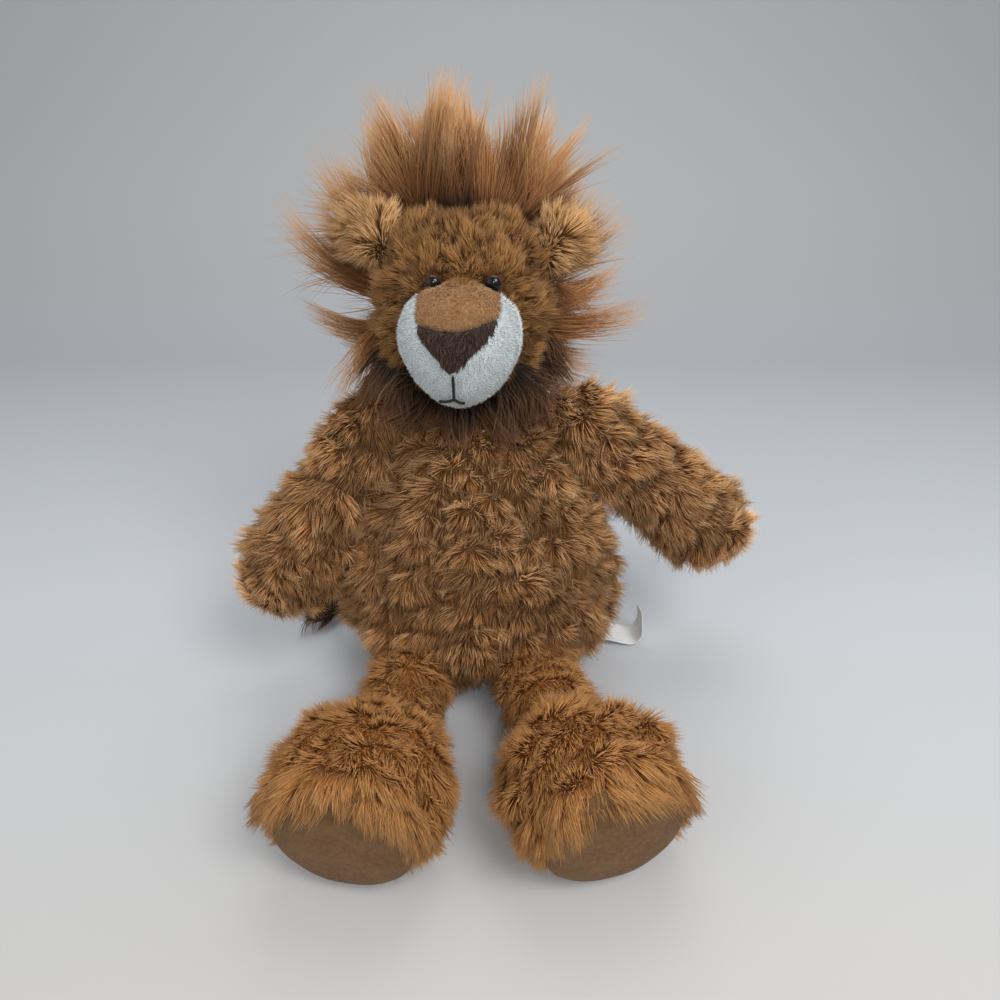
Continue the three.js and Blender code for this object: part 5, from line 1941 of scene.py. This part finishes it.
        brow = {"bare": brow_bare, "cut": brow_cut, "buried": 0.004}
        wardrobe.planted(self.muzzle, wardrobe.brow, "brow_fur", 72, **brow)
        plush = {"bare": muzzle_bare, "buried": 0.004, "stir": 0.3, "patch": 0.01}
        wardrobe.planted(self.muzzle, wardrobe.muzzle, "muzzle_pile", 71, **plush)
        for name, node, outline, finish, slot, thick, coat, seed in (
            ("bridge_panel", "muzzle_bridge", bridge, velour, "bridge_velour", 0.0014, wardrobe.bridge, 81),
            ("nose_panel", "nose_patch", nose, satin, "nose_embroidery", 0.0022, wardrobe.nose, 82),
        ):
            piece = self.panel(name, outline, thick)
            Shop.dress(piece, finish, "head", slot)
            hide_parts(node)
            down = one_way((0, 0, -1.0))
            ground = Skin(name, "head", (node,), self.form(), Matrix.Identity(4), down, piece=piece)
            front = {"bare": lambda places, up: (up[:, 1] < 0.15).astype(float), "buried": 0.02}
            wardrobe.planted(ground, coat, f"{name}_pile", seed, patch=0.008, **front)
        self.stitched(thread, tip)

    @staticmethod
    def beside(outlines: Sequence[Outline], places: Rows, up: Rows) -> Rows:
        """Finds the places that no panel covers, seen from the front.

        Args:
            outlines: The panels' outlines.
            places: The places.
            up: Their normals.

        Returns:
            1 beside the panels and 0 behind them.
        """
        out = np.ones(len(places))
        for outline in outlines:
            hit = np.zeros(len(places), bool)
            for (x0, z0), (x1, z1) in zip(outline, [*outline[1:], outline[0]]):
                cross = (z0 > places[:, 2]) != (z1 > places[:, 2])
                edge = (x1 - x0) * (places[:, 2] - z0) / (z1 - z0 if z1 != z0 else 1e-9) + x0
                hit ^= cross & (places[:, 0] < edge)
            out[hit & (up[:, 1] < -0.2)] = 0
        return out

    def stitched(self, thread: Material, tip: float) -> None:
        """Sews the mouth: a line down from the nose and its two upward ends."""
        x, tree = self.centre[0] - self.mouth_lean, self.muzzle.tree
        start = tip - 0.0006 + self.nose_rise
        low = start - self.mouth_line
        line = [(x, start - self.mouth_line * k / 16) for k in range(17)]
        curl = []
        for k in range(25):
            s = k / 12 - 1
            curl.append((x + self.mouth_halves[s > 0] * s, low - self.mouth_drop * (1 - (1 - abs(s)) ** 2)))
        points: list[Vector] = []
        faces: list[tuple[int, ...]] = []
        for route in (line, curl):
            path = []
            for px, pz in route:
                hit, normal = self.on_muzzle(tree, px, pz)
                path.append((hit + normal * (self.muzzle_inset + 0.0004), normal))
            base, around = len(points), 10
            for i, (p, normal) in enumerate(path):
                way = (path[min(i + 1, len(path) - 1)][0] - path[max(i - 1, 0)][0]).normalized()
                side = way.cross(normal).normalized()
                up = side.cross(way)
                swell = self.mouth_thread * (0.45 if i in (0, len(path) - 1) else 1.0)
                for turn in np.arange(around) * math.tau / around:
                    points.append(p + (side * math.cos(turn) + up * math.sin(turn)) * swell)
            for i in range(len(path) - 1):
                for k in range(around):
                    a, nxt = base + i * around, (k + 1) % around
                    faces.append((a + k, a + nxt, a + around + nxt, a + around + k))
            faces.append(tuple(base + k for k in reversed(range(around))))
            faces.append(tuple(base + (len(path) - 1) * around + k for k in range(around)))
        piece = Shop.piece("mouth_thread", points, faces)
        Shop.faced_out(piece)
        Shop.dress(piece, thread, "head", "mouth_thread")
        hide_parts("mouth_stitch")

    def eyed(self) -> None:
        """Turns the two eyes, each with its shank through the cover."""
        for side in Side:
            low, high = (Vector(corner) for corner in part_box(f"{side.word}_eye"))
            middle = (low + high) / 2 + Vector((self.eye_shift, 0, -self.eye_sink))
            back, front = high.y, low.y
            base = front + self.eye_dome
            turns = np.linspace(0, math.pi / 2, 14)[:-1]
            rim = [(self.eye_radius * math.cos(a), -self.eye_dome * math.sin(a)) for a in turns]
            shank, seat = self.eye_shank, 0.0006
            outline = [(shank, back - base), (shank, seat), (self.eye_radius * 0.97, seat), *rim]
            points, around = [], 48
            for r, y in outline:
                for turn in np.arange(around) * math.tau / around:
                    points.append((middle.x + r * math.cos(turn), base + y, middle.z + r * math.sin(turn)))
            points += [(middle.x, back, middle.z), (middle.x, front, middle.z)]
            piece = Shop.piece(f"{side.word}_eye_dome", points, Shop.turned(len(outline), around))
            Shop.faced_out(piece)
            finish = EyeFinish(f"{side.word}_eye_gloss", (middle.x, base, middle.z), self.eye_radius)
            Shop.dress(piece, finish.make(), "head", "eye_black")
            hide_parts(f"{side.word}_eye")

    def maned(self, wardrobe: Wardrobe) -> None:
        """Plants the mane: its stretches around the head, its back and the hair under the chin."""
        ground = Skin("mane_ground", "head", (), self.form(), self.place(), one_way((0, 1, 0)))
        ground.piece = self.form().mesh("mane_ground", -0.006, self.place())
        finer = ground.piece.modifiers.new("finer", "SUBSURF")
        finer.levels = finer.render_levels = 1
        Shop.settled(ground.piece)
        for region in Region:
            self.ringed(ground, wardrobe, region)
        self.backed(ground, wardrobe)
        self.bearded(ground, wardrobe)
        mesh = ground.piece.data
        bpy.data.objects.remove(ground.piece)
        bpy.data.meshes.remove(mesh)

    @staticmethod
    def turned(own: Rows, low: float = -90.0) -> Rows:
        """The turns of places around the head in degrees, upwards from 90 below the lowest."""
        turn = np.degrees(np.arctan2(own[:, 2], own[:, 0]))
        return np.where(turn < low - 90, turn + 360, turn)

    def ringed(self, ground: Skin, wardrobe: Wardrobe, region: Region) -> None:
        """Plants one stretch of the mane around the head, and its stray fibres."""
        name, low, high = region.value

        def bare(places: Rows, up: Rows) -> Rows:
            """A band behind the face, which starts further back behind the ears."""
            own = self.local(places)
            turn = self.turned(own, low)
            behind_ear = np.minimum(abs(turn - 34), abs(turn - 146)) < 22
            band = (own[:, 1] > self.mane_start + 0.009 * behind_ear) & (own[:, 1] < self.mane_end)
            return ((turn > low) & (turn < high) & band).astype(float)

        def comb(places: Rows, up: Rows) -> Rows:
            """Outwards by the table of locks, and back."""
            own = self.local(places)
            back = np.clip((own[:, 1] - self.mane_start) / (self.mane_end - self.mane_start), 0, 1)
            way = np.radians(np.interp(self.turned(own, low), self.lock_turns, self.lock_ways))
            sunk = np.clip(-own[:, 2] / 0.03, 0, 1)
            steps = [np.cos(way), 0.1 + 0.4 * back - 0.25 * sunk, np.sin(way) - 0.15 * sunk]
            return self.spun(np.stack(steps, axis=1))

        def cut(places: Rows, up: Rows) -> Rows:
            """Lengths by the table of locks."""
            lengths = np.interp(self.turned(self.local(places), low), self.lock_turns, self.lock_lengths)
            return lengths * (1 + 0.22 * Shop.ripple(places, 0.016, 8.0))

        band = replace(ground, comb=comb)
        coat = wardrobe.mane if region is Region.TOP else wardrobe.side_mane
        both = {"buried": 0.02, "bare": bare, "cut": cut, "free": True}
        hair = wardrobe.planted(band, coat, f"{name}_hair", 91, stir=0.2, patch=0.02, bend_patch=0.03, **both)
        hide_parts(name)
        stray = {"stir": 0.5, "patch": 0.012, "bend_patch": 0.01}
        wardrobe.planted(band, wardrobe.stray, f"{name}_fibres", 95, **stray, **both)

    def backed(self, ground: Skin, wardrobe: Wardrobe) -> None:
        """Plants the mane on the back of the head."""

        def comb(places: Rows, up: Rows) -> Rows:
            """Out, back and down."""
            return self.spun(unit(self.local(places) * (1, 0, 1))) * 0.7 + np.array((0, 0.42, -0.68))

        changes = {
            "bare": lambda places, up: (self.local(places)[:, 1] > self.mane_end - 0.004) * 0.55,
            "cut": uneven(0.78, 0.15, 0.014, 2.0),
        }
        band = replace(ground, comb=comb)
        hair = wardrobe.planted(band, wardrobe.mane, "mane_back_hair", 97, buried=0.02, free=True, **changes)
        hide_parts("mane_back")

    def bearded(self, ground: Skin, wardrobe: Wardrobe) -> None:
        """Plants the hair under the chin, whose darkness is painted shade there."""

        def bare(places: Rows, up: Rows) -> Rows:
            """The underside of the head."""
            own = self.local(places)
            turn = self.turned(own)
            return ((turn < -36) & (turn > -144) & (own[:, 1] > -0.028) & (own[:, 1] < 0.03)).astype(float)

        def comb(places: Rows, up: Rows) -> Rows:
            """Sideways, forward and down."""
            own = self.local(places)
            return np.stack([own[:, 0] * 18, np.full(len(own), -0.42), np.full(len(own), -0.6)], axis=1)

        changes = {"buried": 0.02, "bare": bare, "stir": 0.7, "patch": 0.014, "free": True}
        wardrobe.planted(replace(ground, comb=comb), wardrobe.chin, "chin_hair", 98, **changes)


@dataclass
class Label:
    """A bare folded strip of tape, sewn into the left side seam."""

    root: Point = (0.07461, 0.0, 0.009)
    xs: Shares = (0.0006, 0.015, 0.030, 0.0365, 0.0365)
    zs: Shares = (0, -0.0036, -0.0072, -0.0007, 0.013)
    width: float = 0.020
    thick: float = 0.0007
    curl: float = 0.0012

    def made(self, tape: Material) -> None:
        """Weaves the strip, bent up at its fold."""
        xs, zs, root = smooth(self.xs), smooth(self.zs), Vector(self.root)
        steps, across = 48, 16
        route = [root + Vector((xs(i / steps), 0, zs(i / steps))) for i in range(steps + 1)]
        length = sum((b - a).length for a, b in zip(route, route[1:]))
        points: list[Vector] = []
        for face in (1, -1):
            for i, p in enumerate(route):
                way = (route[min(i + 1, steps)] - route[max(i - 1, 0)]).normalized()
                up = Vector((-way.z, 0, way.x))
                for k in range(across + 1):
                    s = 2 * k / across - 1
                    bend = self.curl * (i / steps) ** 2 * s * s
                    points.append(p + Vector((0, self.width / 2 * s, 0)) + up * (face * self.thick / 2 + bend))
        row = across + 1
        size = (steps + 1) * row
        faces: list[tuple[int, ...]] = []
        for i in range(steps):
            for k in range(across):
                a = i * row + k
                b = size + a
                faces += [(a, a + row, a + row + 1, a + 1), (b, b + 1, b + row + 1, b + row)]
        border = [*range(across), *[i * row + across for i in range(steps)]]
        border += [*[steps * row + k for k in range(across, 0, -1)], *[i * row for i in range(steps, 0, -1)]]
        for a, b in zip(border, [*border[1:], border[0]]):
            faces.append((a, b, size + b, size + a))
        piece = Shop.piece("label_strip", points, faces)
        Shop.faced_out(piece)
        Shop.dress(piece, tape, "label", "label_tape")
        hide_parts("care_label")


@dataclass
class Studio:
    """The pale sweep, the soft lamps and the camera."""

    lens: float = 27.0
    camera: Point = (0.0126, -0.413, 0.351)
    down: float = 30.0
    sensor: float = 36.0
    depth: float = 0.55
    bow: float = 1.0
    reach: float = 2.5
    half: float = 3.0
    air: float = 0.46
    # Colours along the sweep, from the front of the floor up the wall: a pale grey paper with painted light and shade,
    # lightest around the lion and darkest where the floor bends up into the wall.
    papers: tuple[tuple[float, tuple[int, int, int]], ...] = (
        (0.0, (194, 191, 187)),
        (0.27, (198, 202, 207)),
        (0.64, (180, 184, 189)),
        (1.0, (190, 191, 192)),
    )

    def built(self) -> None:
        """Builds the floor that bends up into a wall, coloured along it with painted light and shade."""
        bow, steps = self.bow, 24
        rows = [(-self.reach, 0.0), (self.depth, 0.0)]
        for i in range(1, steps + 1):
            turn = i / steps * math.pi / 2
            rows.append((self.depth + bow * math.sin(turn), bow * (1 - math.cos(turn))))
        rows.append((self.depth + bow, self.reach))
        points = [(x, y, z) for y, z in rows for x in (-self.half, self.half)]
        faces = [(2 * i, 2 * i + 1, 2 * i + 3, 2 * i + 2) for i in range(len(rows) - 1)]
        floor = Shop.piece("studio_sweep", points, faces)
        nodes = Nodes("studio_paper")
        place = nodes.add("ShaderNodeTexCoord")
        parts = nodes.add("ShaderNodeSeparateXYZ")
        nodes.join(place, "Object", parts, "Vector")
        along = nodes.add("ShaderNodeMapRange", From_Min=-0.35, From_Max=1.1)
        nodes.join(parts, "Y", along, "Value")
        ramp = nodes.ramp([(at, paint(*colour)) for at, colour in self.papers])
        nodes.join(along, "Result", ramp, "Fac")
        floor.data.materials.append(nodes.finished(ramp, "Color", Roughness=0.95, Specular_IOR_Level=0.1))

    def lit(self) -> None:
        """Hangs the lamps and sets a pale world."""
        for name, place, aim, size, power, tint in (
            ("key", (0.55, -0.75, 1.15), (0, 0, 0.12), 0.6, 10.0, (1.0, 0.99, 0.975)),
            ("fill", (-1.1, -0.7, 0.8), (0, 0, 0.12), 1.2, 4.0, (0.98, 0.99, 1.0)),
            ("top", (0.1, 0.5, 1.4), (0, 0, 0.15), 1.0, 5.5, (1.0, 1.0, 1.0)),
            ("catch", (0.05, -0.75, 0.62), (0, 0, 0.2), 0.08, 1.3, (1.0, 1.0, 1.0)),
        ):
            lamp = bpy.data.lights.new(name, "AREA")
            lamp.size, lamp.energy, lamp.color = size, power, tint
            held = Shop.shown(name, lamp)
            held.location = place
            held.rotation_euler = (Vector(aim) - Vector(place)).to_track_quat("-Z", "Y").to_euler()
        world = bpy.data.worlds.new("studio_air")
        bpy.context.scene.world = world
        world.use_nodes = True
        back = world.node_tree.nodes["Background"]
        back.inputs["Color"].default_value = (0.97, 0.985, 1.0, 1)
        back.inputs["Strength"].default_value = self.air

    def watched(self) -> None:
        """Sets the camera where the photograph was taken from."""
        camera = bpy.data.cameras.new("camera")
        camera.lens, camera.sensor_width = self.lens, self.sensor
        camera.clip_start = 0.01
        held = Shop.shown("camera", camera)
        held.location = self.camera
        held.rotation_euler = (math.radians(90 - self.down), 0, 0)
        bpy.context.scene.camera = held
        bpy.context.scene.view_settings.view_transform = "Standard"


def wardrobe() -> Wardrobe:
    """Chooses the coats and cloths.

    Returns:
        The wardrobe.
    """
    # Each fibre's root, middle and tip colours, spread and sheen. Darker roots and lighter tips are partly each
    # fibre's own tone and partly painted shade deep in the pile and painted light at its surface; the orange fibre's
    # light, saturated roots are painted light that scatters through the pile.
    fibres = (
        ("golden_fur", (94, 56, 23), (168, 118, 68), (240, 198, 148), 0.52, 0.02),
        ("orange_fur", (148, 90, 36), (168, 116, 62), (194, 145, 92), 0.28, 0.02),
        ("head_fur_fibre", (76, 45, 15), (134, 91, 46), (188, 142, 86), 0.44, 0.02),
        ("ear_fur_fibre", (140, 96, 52), (196, 151, 98), (226, 186, 136), 0.3, 0.02),
        ("mane_hair", (72, 40, 18), (160, 107, 60), (208, 162, 112), 0.46, 0.08),
        # darkest of all: painted shade under the chin, and the tail tuft's own dark colour
        ("chin_hair_fibre", (14, 7, 3), (60, 37, 19), (128, 88, 54), 0.6, 0.08),
        ("muzzle_plush_fibre", (200, 208, 211), (222, 229, 231), (236, 241, 242), 0.05, 0.05),
        ("bridge_velour_fibre", (148, 110, 70), (174, 134, 90), (194, 156, 112), 0.12, 0.05),
        ("nose_fibre", (36, 20, 14), (72, 52, 44), (124, 98, 86), 0.7, 0.05),
    )
    golden, orange, amber, light, russet, dark_and_shaded, white, tan, brown = (
        StrandFinish(name, paint(*root), paint(*middle), paint(*tip), spread, sheen=sheen)
        for name, root, middle, tip, spread, sheen in fibres
    )
    # part, name, length, width, fibre, strands per square metre, stand, and the tufts' size, pull, disorder,
    # slot, turn, shade and the strands' own shade
    short_piles = (
        ("body", "body", 0.0092, 0.0008, golden, 860000, 0.42, 0.0078, 0.32, 0.12, "body_fur", 0.34, 0.45, 0.2),
        ("leg", "leg", 0.0086, 0.00077, orange, 1090000, 0.48, 0.0078, 0.3, 0.12, "leg_fur", 0.28, 0.35, 0.2),
        ("head", "head", 0.0068, 0.00067, amber, 1500000, 0.5, 0.0068, 0.3, 0.12, "body_fur", 0.36, 0.45, 0.2),
        ("brow", "brow", 0.0052, 0.00065, amber, 2200000, 0.28, 0.005, 0.3, 0.1, "body_fur", 0.2, 0.35, 0.2),
        ("ear", "ear", 0.0094, 0.00068, light, 2000000, 0.45, 0.008, 0.3, 0.12, "leg_fur", 0.25, 0.35, 0.2),
        ("muzzle", "plush", 0.0018, 0.00064, white, 1500000, 0.5, 0.003, 0.2, 0.3, "muzzle_plush", 0.3, 0.35, 0.2),
        ("bridge", "velour", 0.0017, 0.00045, tan, 3000000, 0.5, 0.003, 0.15, 0.25, "bridge_velour", 0.3, 0.35, 0.2),
        ("nose", "nose", 0.0030, 0.0009, brown, 1500000, 0.2, 0.003, 0.3, 0.12, "nose_embroidery", 0.3, 0.35, 0.6),
    )
    short = {}
    for part, name, length, width, fibre, count, stand, size, pull, disorder, slot, turn, shade, own in short_piles:
        short[part] = Coat(
            f"{name}_strand", Strand(length, width, rings=1), fibre, count, stand, size, pull, disorder,
            slot=slot, most=48000, tuft_turn=turn, tuft_shade=shade, own_shade=own,
        )
    return Wardrobe(
        **short,
        pile=PileTree(),
        fringe=Coat(
            "fringe_strand", Strand(0.0162, 0.00075, rings=2, bow=0.0, curl=0.22), orange,
            2250000, 0.0, 0.0075, 0.42, 0.1, slot="leg_fur", most=9000, tuft_turn=0.25,
        ),
        mane=Coat(
            "mane_strand",
            Strand(0.070, 0.0008, rings=4, bow=0.04, curl=0.26, crinkle=0.012, waves=1.0, taper=2.4),
            russet, 2300000, 0.0, 0.014, 0.5, 0.025, 0.72, 1.08, "mane_fur", 4900, 0.2, 0.36, 0.32,
        ),
        side_mane=Coat(
            "side_mane_strand",
            Strand(0.070, 0.0008, rings=5, bow=0.05, curl=0.62, crinkle=0.016, waves=1.3, taper=2.4),
            russet, 2300000, 0.0, 0.014, 0.6, 0.025, 0.7, 1.08, "mane_fur", 4300, 0.34, 0.36, 0.32,
        ),
        # Dark hair, as painted shade under the chin and as the tail tuft's own colour.
        chin=Coat(
            "chin_strand",
            Strand(0.034, 0.0011, rings=3, bow=0.16, crinkle=0.02, waves=1.0, taper=1.8),
            dark_and_shaded, 820000, 0.0, 0.011, 0.6, 0.1, 0.6, 1.15, "mane_fur", 8600, 0.35, 0.5,
        ),
        stray=Coat(
            "stray_strand",
            Strand(0.070, 0.0005, rings=7, bow=0.1, curl=0.35, crinkle=0.03, waves=1.4, taper=3.0),
            russet, 80000, 0.0, 0.02, 0.3, 0.1, 0.6, 0.95, "mane_fur", 4900,
        ),
        backing=ClothFinish("golden_backing", paint(86, 54, 24), paint(110, 74, 38), 900.0, sheen=0.0).make(),
        leg_backing=ClothFinish("orange_backing", paint(132, 82, 32), paint(154, 100, 46), 900.0, sheen=0.0).make(),
        mane_backing=ClothFinish("mane_backing_cloth", paint(38, 19, 12), paint(66, 34, 21), 900.0).make(),
    )


def main() -> None:
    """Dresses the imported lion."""
    logging.basicConfig(level=logging.INFO, format="%(name)s: %(message)s")
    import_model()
    fill = ClothFinish("fibre_filling", paint(226, 226, 222), paint(244, 244, 241), 260.0, 0.0008)
    bag = ClothFinish("pellet_bag_cloth", paint(196, 190, 176), paint(222, 217, 204), 500.0, 0.0003, weave=900.0)
    washer = ClothFinish("washer_plastic", paint(208, 210, 210), paint(224, 225, 224), 120.0, 0.00005, 0.4, 0.0)
    seam = ClothFinish("twisted_thread", paint(78, 50, 30), paint(112, 76, 46), 1400.0, 0.0002, weave=1500.0)
    mouth = ClothFinish("black_thread", paint(14, 11, 10), paint(34, 27, 24), 1600.0, 0.0002, 0.6, 0.1, 1700.0)
    suede = ClothFinish("brushed_suede", paint(89, 63, 37), paint(117, 88, 57), 420.0, 0.00035, 0.95, 0.06)
    velour = ClothFinish("bridge_ground", paint(140, 100, 64), paint(166, 124, 82), 900.0)
    satin = ClothFinish("nose_ground", paint(26, 16, 12), paint(46, 30, 23), 900.0)
    tape = ClothFinish("white_tape", paint(228, 228, 226), paint(244, 244, 243), 700.0, 0.00012, 0.8, 0.1, 1100.0)
    closet, padded = wardrobe(), ("arm", "leg", "foot")
    bare_nodes = {
        fill: ("torso_filling", "head_filling", *(f"{side.word}_{part}_filling" for side in Side for part in padded)),
        bag: ("pellet_bag",),
        washer: ("right_eye_washer", "left_eye_washer"),
        seam: ("neck_seam", "closing_seam"),
    }
    for finish, names in bare_nodes.items():
        material = finish.make()
        for name in names:
            for slot in bpy.data.objects[name].material_slots:
                slot.material = material

    torso = Torso()
    arms = [Limb(Side.RIGHT, (-0.06188, 0, 0.16544), 34, 18), Limb(Side.LEFT, (0.06188, 0, 0.16544), 50, 1)]
    legs = [Leg(Side.RIGHT, (-0.038, -0.052475, 0.0275), -9.5), Leg(Side.LEFT, (0.03, -0.052475, 0.0275), 15.0)]
    tail, head = Tail(), Head()
    closet.skins.append(torso.sewn(closet))
    for arm in arms:
        closet.skins.append(arm.sewn(closet))
    for leg in legs:
        closet.skins += leg.sewn(closet)
    closet.skins += tail.sewn(closet)
    closet.skins += head.sewn(closet)
    head.muzzle.make(MuzzleFinish("muzzle_ground", head.brow).make(), "muzzle_plush")
    torso.skin.seated(Vector(torso.neck), 0.020)
    head.raised()
    for limb in (*arms, *legs):
        torso.skin.seated(Vector(limb.pivot), limb.radii[0] - 0.0065)
    for skin in (*closet.skins, head.muzzle):
        skin.measured()
        log.info("%s: %d faces", skin.name, len(skin.piece.data.polygons))
    for part in (torso, *arms, *legs, tail, head):
        part.furred(closet)
    for leg in legs:
        leg.soled(suede.make())
    head.faced(closet, mouth.make(), velour.make(), satin.make())
    head.eyed()
    head.maned(closet)
    Label().made(tape.make())
    studio = Studio()
    studio.built()
    studio.lit()
    studio.watched()


if __name__ == "__main__":
    main()
